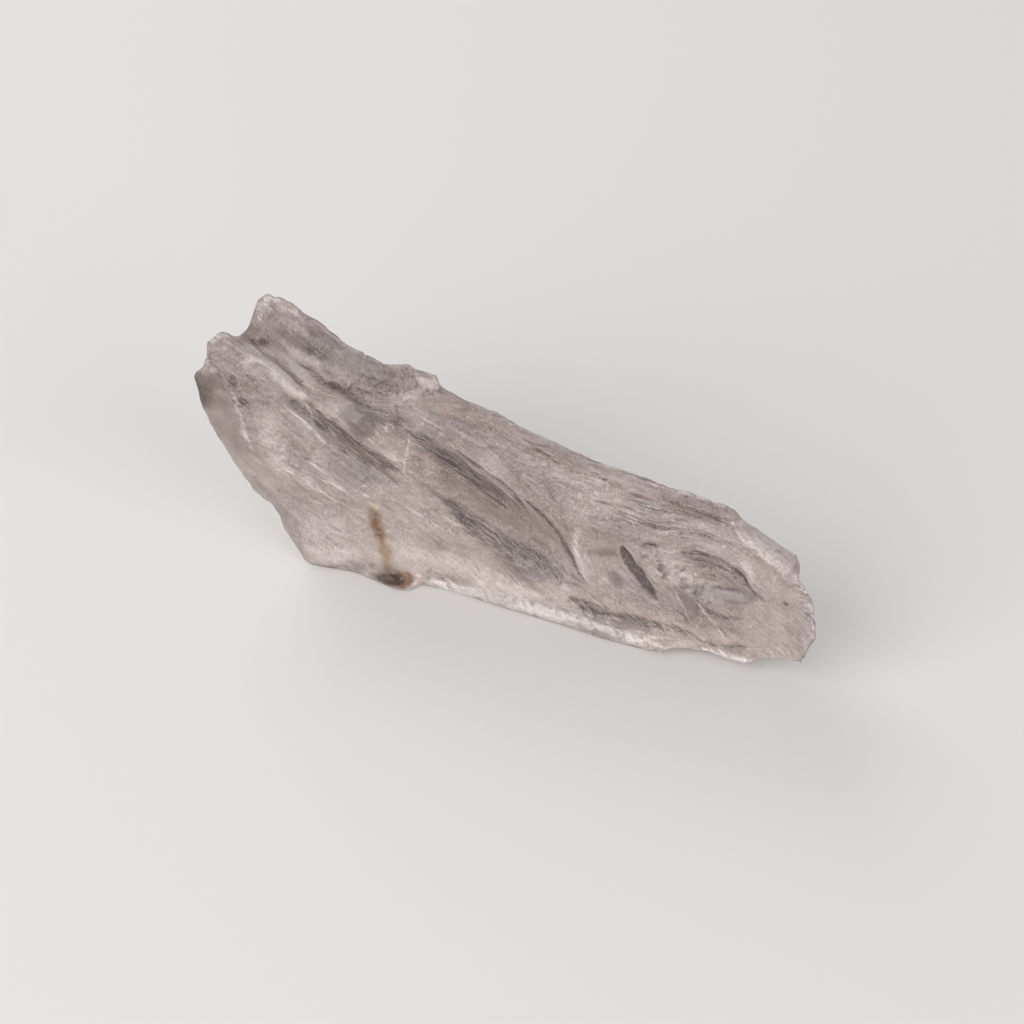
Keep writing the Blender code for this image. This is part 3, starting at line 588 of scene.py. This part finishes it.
# outline, rim, tone, warmth (above 0 is beige, below 0 is bluish), calm
WINDOWS = [
    (BEVEL, 0.8, -0.05, 0.6, 0.6), (ISLAND, 0.9, -0.48, -1.2, 0.9), (SCOOP_FLOOR, 0.6, 0.0, 0.7, 1.0),
    (BEIGE_WINDOW, 0.7, -0.3, 0.9, 1.0), (BLUE_WINDOW, 0.8, -0.35, -1.0, 1.0), (STEP, 0.4, 0.12, -0.8, 0.6),
    (TRIANGLE, 0.35, -0.3, -0.2, 1.0), (SCOOP_WINDOW, 0.9, -0.3, -0.5, 0.8), (LOW_WINDOW, 0.6, -0.2, 0.8, 1.0),
    *[(pit, 0.3, -0.4, -0.8, 0.6) for pit in PITS],
]
print("windows on the front:", len(WINDOWS))

# %% Marks of the back, on its own sheet
BACK_STREAKS = [
    # broad scoops, each with a ridge below it
    ([(-23.0, 17.6), (-17.0, 15.6), (-11.0, 12.2), (-6.5, 8.0), (-4.0, 4.4)], 2.6, -0.2, -0.55),
    ([(-24.0, 15.0), (-17.5, 12.8), (-11.5, 9.2), (-8.0, 5.4)], 0.5, 0.4, 0.22),
    ([(-4.5, 14.0), (2.0, 12.6), (8.5, 9.8), (13.0, 6.0)], 2.3, -0.18, -0.5),
    ([(-5.5, 11.4), (0.5, 9.8), (6.0, 7.0), (9.5, 3.8)], 0.45, 0.4, 0.2),
    ([(10.5, 12.6), (16.0, 11.4), (20.5, 8.8), (23.5, 5.6)], 1.7, -0.15, -0.35),
    ([(11.5, 10.4), (16.0, 9.2), (19.5, 6.6)], 0.4, 0.35, 0.15),
    # dark bands inside them
    ([(-22.0, 18.4), (-16.5, 16.4), (-10.5, 12.8), (-6.5, 9.0)], 1.0, -0.5, -0.12),
    ([(-20.5, 12.0), (-16.0, 9.5), (-12.0, 6.0)], 0.8, -0.35, -0.12),
    ([(-3.0, 13.6), (3.0, 12.0), (8.5, 9.0), (11.5, 6.4)], 0.9, -0.5, -0.12),
    ([(-4.0, 8.0), (1.0, 6.5), (5.5, 3.6)], 0.7, -0.35, -0.10),
    ([(11.5, 12.0), (16.5, 10.6), (20.5, 7.8)], 0.7, -0.45, -0.12),
    ([(-21.5, 16.4), (-15.5, 14.0), (-10.5, 10.4)], 0.3, -0.5, -0.08),
    ([(-1.0, 11.6), (4.0, 9.8), (8.0, 7.0)], 0.28, -0.5, -0.08),
    # light lines and the frosted foot
    ([(-13.0, 15.4), (-6.0, 14.8), (2.0, 14.0)], 0.35, 0.4, 0.08),
    ([(-22.0, 8.0), (-18.0, 5.0), (-14.0, 3.2)], 0.5, 0.45, 0.10),
    ([(-17.0, 1.2), (-6.0, 1.0), (6.0, 1.2), (12.0, 1.4)], 0.9, 0.5, 0.0),
]
BACK_WINDOWS = [
    ([(-15.0, 11.6), (-11.5, 10.2), (-9.5, 7.6), (-12.5, 7.6), (-15.5, 9.6)], 0.9, -0.35, -0.9, 0.8),
    ([(2.0, 9.0), (5.5, 7.6), (8.0, 5.0), (5.0, 5.0), (2.0, 7.0)], 0.8, -0.3, 0.8, 0.8),
    ([(13.5, 11.6), (17.5, 10.6), (19.5, 8.4), (15.5, 9.4)], 0.8, -0.3, -0.8, 0.8),
    ([(-25.0, 12.4), (-21.5, 11.0), (-20.0, 8.0), (-23.0, 9.2)], 0.8, -0.25, 0.7, 0.7),
    ([(-3.5, 4.6), (-0.5, 4.4), (1.0, 2.6), (-2.5, 2.6)], 0.7, -0.2, -0.7, 0.7),
]
print("streaks and windows on the back:", len(BACK_STREAKS), len(BACK_WINDOWS))

# %% Gather tone, relief, calm and warmth
BAND_FIBRE, BAND_CRUMB = 0.5, 0.3      # how strongly ripples and crumbs show inside a streak
CLOUD_WARMTH = 0.35
HUSH = 0.75                            # how much a calm place quiets ripples and crumbs
STRIP_WIDTH = 1.1                      # millimetres; the bright strip is calm and a little rough this far

tone = np.zeros(len(points))
relief = np.zeros(len(points))
banded = np.zeros(len(points))
calm = np.zeros(len(points))
warmth = CLOUD_WARMTH * cloud
for sheet, streaks in ((front, DARK_STREAKS), (front, LIGHT_STREAKS), (back, BACK_STREAKS)):
    for path, width, strength, height in streaks:
        mark = sheet.streak(path, width)
        tone += strength * mark * (1.0 + BAND_FIBRE * ripple + BAND_CRUMB * crumbs)
        relief += height * mark
        banded = np.maximum(banded, mark)
for outline, rim, strength, height in PATCHES:
    mark = front.patch(outline, rim)
    tone += strength * mark
    relief += height * mark
for outline, rim, strength in SHADES:
    tone += strength * front.patch(outline, rim)
for sheet, windows in ((front, WINDOWS), (back, BACK_WINDOWS)):
    for outline, rim, strength, warm, still in windows:
        mark = sheet.patch(outline, rim)
        tone += strength * mark
        warmth += warm * mark
        calm = np.maximum(calm, still * mark)
strip = front.streak(STRIP, STRIP_WIDTH)
for share, mark in ((0.6, strip), (0.5, front.patch(RIGHT_END, 2.5))):
    calm = np.maximum(calm, share * mark)
rough_rim = front.patch(RIM, 0.5)
for share, mark in ((0.9, front.patch(PIT_FIELD, 0.8)), (0.2, strip), (0.6, front.patch(CRUSHED, 0.6))):
    rough_rim = np.maximum(rough_rim, share * mark)
loud = 1.0 - HUSH * calm
print("tone of the marks, darkest and lightest:", tone.min().round(2), tone.max().round(2))

# %% [markdown]
# ## Worn edges
#
# Where two faces meet, the real edge is chipped and frosted white. A shader could find
# such edges with Pointiness, but the relief needs them too, so the bend of the skin is
# measured here: how far each point stands out from the middle of its neighbours, set
# against the distance to them.

# %% Find the edges that stick out
EDGE_SPREAD = 5            # passes that widen the measured edges
SHARP_BEND = 1.2           # bend per millimetre that counts as a full edge

edge_length = np.linalg.norm(points[edge_from] - points[edge_to], axis=1)
spacing = (np.bincount(edge_from, edge_length, len(points))
           + np.bincount(edge_to, edge_length, len(points))) / neighbours
bend = np.einsum("ij,ij->i", points - middles_of(points), normals) / spacing ** 2
for _ in range(EDGE_SPREAD):
    bend = neighbour_mean(bend)
edge_wear = ease(bend / SHARP_BEND)
print("share of the skin that is worn edge:", round(float(edge_wear.mean()), 3))

# %% [markdown]
# ## Carve the skin
#
# The marks sink or raise the skin, ripples and lumps roughen it, and crumbs break up the
# rims and the worn edges. Nothing moves where the shard lies on the ground.

# %% Move the skin
RIPPLE_TONE, LUMP_TONE, CRUMB_TONE = 0.13, 0.08, 0.10
CLOUD_TONE, EDGE_TONE, RIM_TONE = 0.09, 0.08, 0.20
BACK_PAINTED_LIGHT = 0.15                      # painted light: the back, which the lamps leave in shade, is made lighter
VEIL_TONE = 0.16                       # veils inside the clear places
# heights in millimetres
RIPPLE_HEIGHT, BAND_RIPPLE_HEIGHT = 0.035, 0.03
LUMP_HEIGHT, CRUMB_HEIGHT = 0.05, 0.015
RIM_HEIGHT, EDGE_HEIGHT = 0.07, 0.08
CHIP_DEPTH = 0.22
EDGE_LIFT = 0.08                       # gives back what smoothing and chips take off the edges
GROUND_FADE = 0.6                      # the relief grows to its full height this far above the base

veils = noise_field(1.5, 21.0, MAIN_TURN, 1.6) + 0.5 * lumps
tone += (RIPPLE_TONE * ripple + LUMP_TONE * lumps + CRUMB_TONE * crumbs) * loud
tone += CLOUD_TONE * cloud + EDGE_TONE * edge_wear + RIM_TONE * rough_rim * crumbs
# painted light on the back, which lies in the lamps' shade
tone += BACK_PAINTED_LIGHT * (1.0 - front_share) + VEIL_TONE * calm * veils
chips = ease(noise_field(0.75, 12.0) * 1.6)
relief += (RIPPLE_HEIGHT + BAND_RIPPLE_HEIGHT * banded) * ripple * loud
relief += (LUMP_HEIGHT * lumps + CRUMB_HEIGHT * crumbs) * loud
relief += RIM_HEIGHT * rough_rim * crumbs + EDGE_HEIGHT * edge_wear * lumps
relief += edge_wear * (EDGE_LIFT - CHIP_DEPTH * chips)
relief *= ease((points[:, 2] - BASE_HEIGHT) / GROUND_FADE)
points += normals * relief[:, None]
print("relief in mm, lowest and highest:", relief.min().round(2), relief.max().round(2))

# %% Sharpen the two tips that smoothing blunted
# where a tip begins, how far it takes to grow, and how much longer it gets, in millimetres
NEAR_TIP_X, NEAR_TIP_GROWS, NEAR_TIP_ADDS = -27.6, 1.4, 0.28
FAR_TIP_Z, FAR_TIP_GROWS, FAR_TIP_ADDS = 20.8, 1.5, 0.15

points[:, 0] -= NEAR_TIP_ADDS * ease((NEAR_TIP_X - points[:, 0]) / NEAR_TIP_GROWS)
points[:, 2] += FAR_TIP_ADDS * ease((points[:, 2] - FAR_TIP_Z) / FAR_TIP_GROWS)
points[:, 2] = np.maximum(points[:, 2], 0.0)
write_points(skin, points)
print("carved box in mm:", points.min(axis=0).round(1), points.max(axis=0).round(1))

# %% [markdown]
# ## A stain of iron
#
# A rusty stain runs down the left of the face to a dark spot at the foot. It lies in the
# stone, so it has no relief, only colour. At its top a glint is painted into the colour as a
# highlight.

# %% The stain's places
STAIN = [(-12.5, 9.8), (-12.1, 8.9), (-11.8, 8.2), (-11.7, 7.2), (-11.4, 6.1), (-11.0, 4.8), (-10.7, 3.3),
         (-10.7, 1.9), (-10.7, 0.9)]
STAIN_HEART = [(-12.2, 8.9), (-11.9, 8.0), (-11.7, 7.2), (-11.4, 6.0), (-11.1, 4.9)]
# a painted highlight: a cream glint drawn into the colour at the top of the stain
STAIN_PAINTED_GLINT = [(-12.6, 9.6), (-12.0, 9.3), (-11.4, 9.1)]
STAIN_SPOT = [(-12.8, 1.4), (-12.0, 1.6), (-11.0, 2.7), (-10.1, 2.4), (-8.9, 2.9), (-8.1, 2.4), (-8.0, 1.4),
              (-8.9, 0.3), (-10.1, 0.2), (-11.3, 0.4), (-12.2, 0.8)]
STAIN_DARK = [(-12.2, 1.1), (-11.2, 1.7), (-10.4, 1.9), (-9.5, 2.2), (-8.8, 1.9), (-8.8, 1.2), (-9.5, 0.5),
              (-10.5, 0.4), (-11.6, 0.5)]
blotch = 1.0 + 0.7 * lumps + 0.4 * crumbs
spot = front.patch(STAIN_SPOT, 0.6)
print("the stain reaches from", STAIN[0], "down to", STAIN[-1], "on the front sheet")

# %% Numbers for the shader
DARKEST, LIGHTEST = -0.85, 0.7         # leaves room for the fibres inside the dark bands
NICK_DARK = 0.15                       # the nick alone is darker still


def keep(name, values, low=0.0, high=1.0):
    """Stores one number for every point, for the shader to read."""
    attribute = skin.attributes.new(name, "FLOAT", "POINT")
    attribute.data.foreach_set("value", np.clip(values, low, high).astype(np.float32))


tone = np.clip(tone, DARKEST, LIGHTEST) - NICK_DARK * front.patch(NICK, 0.35)
keep("tone", tone, -1.0, 1.0)
keep("banded", banded)
keep("calm", calm)
keep("warmth", 0.5 + 0.5 * warmth)
keep("stain", front.streak(STAIN, 1.1) * blotch + front.patch(STAIN_SPOT, 0.5))
keep("stain_heart", (front.streak(STAIN_HEART, 0.9) + 0.9 * spot) * blotch)
# where the painted highlight at the stain's top goes
keep("stain_painted_glint", front.streak(STAIN_PAINTED_GLINT, 0.45, 0.1))
keep("stain_dark", 1.3 * front.patch(STAIN_DARK, 0.35) * blotch)
keep("hairy", ease(noise_field(2.2, 15.0) * 2.0))


def straight_flow(turn, seed):
    """Coordinates along and across a straight ripple family. The seed keeps the families apart."""
    along = points[:, 0] * math.cos(turn) + points[:, 2] * math.sin(turn)
    across = points[:, 2] * math.cos(turn) - points[:, 0] * math.sin(turn)
    return np.column_stack((along, across, points[:, 1] + seed))


TOP_SEED, CURVED_SEED = 50.0, 100.0
fibre_place = straight_flow(MAIN_TURN, 0.0)
fibre_place = np.where((top_right > 0.5)[:, None], straight_flow(TOP_TURN, TOP_SEED), fibre_place)
curved_flow = np.column_stack((flow_along, flow_across, np.full(len(points), CURVED_SEED)))
fibre_place = np.where((curved > 0.5)[:, None], curved_flow, fibre_place)
flow = skin.attributes.new("flow", "FLOAT_VECTOR", "POINT")
flow.data.foreach_set("vector", fibre_place.astype(np.float32).ravel())
print("numbers on the skin:", [name for name in skin.attributes.keys() if not name.startswith(".")])

# %% [markdown]
# ## The stone
#
# Quartz is clear, and what hides its inside is the frosted skin and thin veils. Volume
# scatter would be nearest to the veils, but it renders slowly and few viewers show it.
# A see-through Principled shader with an absorbing volume comes close: its colour says
# how much the frost and the veils take away, and its roughness how much they blur.

# %% Small helpers for shader nodes
def new_material(name):
    material = bpy.data.materials.new(name)
    material.use_nodes = True
    nodes = material.node_tree.nodes
    nodes.clear()
    return material, nodes, material.node_tree.links


class NodeDesk:
    """Adds nodes to one material. A value may be a number, a colour or another node's output."""

    def __init__(self, nodes, links):
        self.nodes, self.links = nodes, links

    def plug(self, value, socket):
        if isinstance(value, bpy.types.NodeSocket):
            self.links.new(value, socket)
        else:
            socket.default_value = value

    def attribute(self, name, output="Fac"):
        node = self.nodes.new("ShaderNodeAttribute")
        node.attribute_name = name
        return node.outputs[output]

    def math(self, operation, *values):
        node = self.nodes.new("ShaderNodeMath")
        node.operation = operation
        for value, socket in zip(values, node.inputs):
            self.plug(value, socket)
        return node.outputs["Value"]

    def noise(self, vector, scale, detail=2.0, roughness=0.5):
        node = self.nodes.new("ShaderNodeTexNoise")
        self.plug(vector, node.inputs["Vector"])
        node.inputs["Scale"].default_value = scale
        node.inputs["Detail"].default_value = detail
        node.inputs["Roughness"].default_value = roughness
        return node.outputs["Fac"]

    def mapped(self, vector, turn=(0.0, 0.0, 0.0), scale=(1.0, 1.0, 1.0)):
        node = self.nodes.new("ShaderNodeMapping")
        node.inputs["Rotation"].default_value = turn
        node.inputs["Scale"].default_value = scale
        self.plug(vector, node.inputs["Vector"])
        return node.outputs["Vector"]

    def smooth_step(self, value, low, high):
        node = self.nodes.new("ShaderNodeMapRange")
        node.interpolation_type = "SMOOTHSTEP"
        self.plug(value, node.inputs["Value"])
        node.inputs["From Min"].default_value = low
        node.inputs["From Max"].default_value = high
        return node.outputs["Result"]

    def mix_colour(self, share, first, second):
        node = self.nodes.new("ShaderNodeMix")
        node.data_type = "RGBA"
        for value, number in ((share, 0), (first, 6), (second, 7)):
            self.plug(value, node.inputs[number])
        return node.outputs[2]

    def ramp(self, value, stops):
        node = self.nodes.new("ShaderNodeValToRGB")
        self.plug(value, node.inputs["Fac"])
        elements = node.color_ramp.elements
        while len(elements) < len(stops):
            elements.new(0.5)
        for element, (position, colour) in zip(elements, stops):
            element.position = position
            element.color = (*colour, 1.0)
        return node.outputs["Color"]


# %% [markdown]
# ## Fine marks in the shader
#
# The finest marks are smaller than the skin's triangles, so they are noise in the shader:
# fibres along the three ripple families, grain everywhere, and a web of light lines where
# a noise passes its middle value.

# %% Noise for the fine marks
PER_MM = 1.0 / MM
FIBRE_STRETCH = 10.0
FIBRES_PER_MM, GRAINS_PER_MM = 4.5, 7.0


def fibre_noise(desk):
    """Noise drawn out along the ripples, whose directions the skin carries."""
    drawn = desk.mapped(desk.attribute("flow", "Vector"), scale=(1.0 / FIBRE_STRETCH, 1.0, 1.0))
    return desk.smooth_step(desk.noise(drawn, FIBRES_PER_MM, 3.0, 0.6), 0.3, 0.7)


def web(desk, place, size, width):
    """Thin light lines where a noise passes its middle value."""
    level = desk.noise(place, PER_MM / size, 1.0)
    off_line = desk.math("ABSOLUTE", desk.math("SUBTRACT", level, 0.5))
    return desk.math("SUBTRACT", 1.0, desk.smooth_step(off_line, 0.0, width))


# %% The colours and values of the stone
# from clear and dark to crushed and white
COOL_TONES = [(0.0, (0.072, 0.06, 0.057)), (0.25, (0.295, 0.256, 0.249)), (0.5, (0.612, 0.538, 0.523)),
              (0.75, (0.83, 0.755, 0.74)), (1.0, (0.98, 0.95, 0.94))]
WARM_TONES = [(0.0, (0.072, 0.058, 0.05)), (0.25, (0.313, 0.254, 0.227)), (0.5, (0.637, 0.543, 0.495)),
              (0.75, (0.848, 0.75, 0.694)), (1.0, (0.98, 0.935, 0.888))]
# the stain's rust colours, and the cream of the painted highlight at its top
RUSTS_AND_GLINT = [("stain", (0.42, 0.29, 0.17, 1.0)), ("stain_heart", (0.22, 0.10, 0.035, 1.0)),
         ("stain_painted_glint", (0.95, 0.83, 0.56, 1.0)), ("stain_dark", (0.045, 0.018, 0.008, 1.0))]
QUARTZ_IOR = 1.544
VEIL_COLOUR, VEIL_DENSITY = (0.82, 0.74, 0.71, 1.0), 28.0      # what the inside takes from the light, per metre
CLEAR_ROUGHNESS, FROST_ROUGHNESS = 0.30, 0.12                  # where the stone is clear, and what frost adds
CLEARNESS, FROST_CLOUDS = 0.97, -0.42                          # share of light let in, and what frost takes
CALM_HUSH = -0.65                                              # calm places show fewer fine marks
FIBRE_SHARE, BAND_FIBRE_SHARE = 0.25, 0.9                      # on plain stone, and more inside the bands
GRAIN_SHARE, BAND_GRAIN_SHARE = 1.25, 1.1
HAIR_SHARE, WEB_SHARE = 0.42, 0.32
HAIR_SIZE, HAIR_WIDTH, WEB_SIZE, WEB_WIDTH = 0.9, 0.018, 0.35, 0.06
BUMP_STRENGTH, BUMP_HEIGHT = 0.35, 0.05 * MM
print("quartz: IOR", QUARTZ_IOR, "roughness", CLEAR_ROUGHNESS, "to", round(CLEAR_ROUGHNESS + FROST_ROUGHNESS, 2))


# %% The quartz
def quartz_stone():
    material, nodes, links = new_material("quartz_stone")
    desk = NodeDesk(nodes, links)
    output = nodes.new("ShaderNodeOutputMaterial")
    shader = nodes.new("ShaderNodeBsdfPrincipled")
    links.new(shader.outputs["BSDF"], output.inputs["Surface"])
    place = nodes.new("ShaderNodeTexCoord").outputs["Object"]

    # fibres and grain, quieter in the calm places
    fibres = desk.math("SUBTRACT", fibre_noise(desk), 0.5)
    grain = desk.math("SUBTRACT", desk.noise(place, GRAINS_PER_MM * PER_MM, 3.0, 0.7), 0.5)
    loudness = desk.math("MULTIPLY_ADD", desk.attribute("calm"), CALM_HUSH, 1.0)
    fibre_share = desk.math("MULTIPLY_ADD", desk.attribute("banded"), BAND_FIBRE_SHARE, FIBRE_SHARE)
    grain_share = desk.math("MULTIPLY_ADD", desk.attribute("banded"), BAND_GRAIN_SHARE, GRAIN_SHARE)
    rough = desk.math("MULTIPLY_ADD", fibres, fibre_share, desk.math("MULTIPLY", grain, grain_share))
    rough = desk.math("MULTIPLY", rough, loudness)

    # light hairs and webs
    drawn = desk.mapped(desk.mapped(place, turn=(0.3, MAIN_TURN + 0.4, 0.2)), scale=(0.16, 1.0, 1.0))
    hairs = desk.math("MULTIPLY", web(desk, drawn, HAIR_SIZE, HAIR_WIDTH), desk.attribute("hairy"))
    webs = desk.math("MULTIPLY", web(desk, place, WEB_SIZE, WEB_WIDTH), WEB_SHARE)
    lines = desk.math("MULTIPLY_ADD", hairs, HAIR_SHARE, webs)
    toned = desk.math("ADD", desk.math("MULTIPLY_ADD", lines, loudness, rough), desk.attribute("tone"))
    share = desk.math("MULTIPLY_ADD", toned, 0.5, 0.5)

    # colour, from the tone, the stain's rust and the painted highlight at its top
    stone = desk.mix_colour(desk.attribute("warmth"), desk.ramp(share, COOL_TONES), desk.ramp(share, WARM_TONES))
    for name, colour in RUSTS_AND_GLINT:
        stone = desk.mix_colour(desk.attribute(name), stone, colour)
    desk.plug(stone, shader.inputs["Base Color"])

    # frost makes the light places rougher and less clear
    frost = desk.math("MAXIMUM", desk.smooth_step(share, 0.25, 0.95), desk.attribute("stain_dark"))
    desk.plug(desk.math("MULTIPLY_ADD", frost, FROST_ROUGHNESS, CLEAR_ROUGHNESS), shader.inputs["Roughness"])
    desk.plug(desk.math("MULTIPLY_ADD", frost, FROST_CLOUDS, CLEARNESS), shader.inputs["Transmission Weight"])
    bump = nodes.new("ShaderNodeBump")
    bump.inputs["Strength"].default_value = BUMP_STRENGTH
    bump.inputs["Distance"].default_value = BUMP_HEIGHT
    desk.plug(rough, bump.inputs["Height"])
    links.new(bump.outputs["Normal"], shader.inputs["Normal"])

    shader.inputs["IOR"].default_value = QUARTZ_IOR
    absorb = nodes.new("ShaderNodeVolumeAbsorption")
    absorb.inputs["Color"].default_value = VEIL_COLOUR
    absorb.inputs["Density"].default_value = VEIL_DENSITY
    links.new(absorb.outputs["Volume"], output.inputs["Volume"])
    return material


# %% Dress the shard
skin.materials.append(quartz_stone())
skin.shade_smooth()
shard = bpy.data.objects.new("quartz_shard", skin)
bpy.context.scene.collection.objects.link(shard)
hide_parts("quartz_crystal")
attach(shard, "root")
print("dressed", shard.name, "with", skin.materials[0].name)

# %% [markdown]
# ## Camera
#
# A small stone is best seen from some way off through a long lens, because close up its
# near end would look too big. The camera looks down on the broken face from its right.

# %% Place the camera
AZIMUTH, ELEVATION = math.radians(21.5), math.radians(40.0)
AIM = Vector((-4.21, 6.41, 0.0)) * MM
CAMERA_DISTANCE = 490 * MM
to_camera = Vector((math.sin(AZIMUTH) * math.cos(ELEVATION), -math.cos(AZIMUTH) * math.cos(ELEVATION),
                    math.sin(ELEVATION)))
camera_data = bpy.data.cameras.new("camera")
camera_data.lens = 190
camera_data.sensor_width = 36
camera_data.clip_start = 0.01
camera = bpy.data.objects.new("camera", camera_data)
bpy.context.scene.collection.objects.link(camera)
camera.location = AIM + to_camera * CAMERA_DISTANCE
camera.rotation_euler = to_camera.to_track_quat("Z", "Y").to_euler()
bpy.context.scene.camera = camera
print("camera at, in mm:", [round(value / MM) for value in camera.location])

# %% [markdown]
# ## Light and floor
#
# The stone lies on plain pale paper under large soft lamps. Small lamps would leave hard
# shadows and burnt spots on its smooth places. A warm key lamp stands in front, a weak one
# fills the right, and one behind lights the top ridge and shines through the thin ends.

# %% Hang the lamps
LAMP_AIM = Vector((0, 0, 0.01))


def add_light(name, place, size, power, colour=(1.0, 1.0, 1.0)):
    data = bpy.data.lights.new(name, "AREA")
    data.size = size
    data.energy = power
    data.color = colour
    light = bpy.data.objects.new(name, data)
    bpy.context.scene.collection.objects.link(light)
    light.location = place
    light.rotation_euler = (Vector(place) - LAMP_AIM).to_track_quat("Z", "Y").to_euler()


add_light("key", (-0.25, -0.62, 0.40), 0.80, 6.5, (1.0, 0.97, 0.95))
add_light("fill", (0.55, -0.25, 0.30), 0.50, 1.5)
add_light("rim", (-0.50, 0.35, 0.30), 0.50, 2.5)

world = bpy.data.worlds.new("studio")
world.use_nodes = True
world.node_tree.nodes["Background"].inputs["Color"].default_value = (0.85, 0.86, 0.88, 1.0)
world.node_tree.nodes["Background"].inputs["Strength"].default_value = 0.45
bpy.context.scene.world = world
bpy.context.scene.view_settings.view_transform = "Standard"

# %% Lay the floor
HALF_FLOOR = 1.5                       # metres
FLOOR_GAP = 0.2 * MM                   # just below the stone, so that the two faces never fight
PAPER = (0.66, 0.652, 0.645, 1.0)

floor_mesh = bpy.data.meshes.new("floor")
floor_corners = [(-HALF_FLOOR, -HALF_FLOOR, 0), (HALF_FLOOR, -HALF_FLOOR, 0), (HALF_FLOOR, HALF_FLOOR, 0),
                 (-HALF_FLOOR, HALF_FLOOR, 0)]
floor_mesh.from_pydata(floor_corners, [], [(0, 1, 2, 3)])
floor = bpy.data.objects.new("floor", floor_mesh)
bpy.context.scene.collection.objects.link(floor)
floor.location.z = -FLOOR_GAP
floor_material, floor_nodes, floor_links = new_material("pale_paper")
floor_out = floor_nodes.new("ShaderNodeOutputMaterial")
floor_shader = floor_nodes.new("ShaderNodeBsdfPrincipled")
floor_shader.inputs["Base Color"].default_value = PAPER
floor_shader.inputs["Roughness"].default_value = 0.8
floor_links.new(floor_shader.outputs["BSDF"], floor_out.inputs["Surface"])
floor_mesh.materials.append(floor_material)
print("floor in metres:", 2 * HALF_FLOOR, "square")
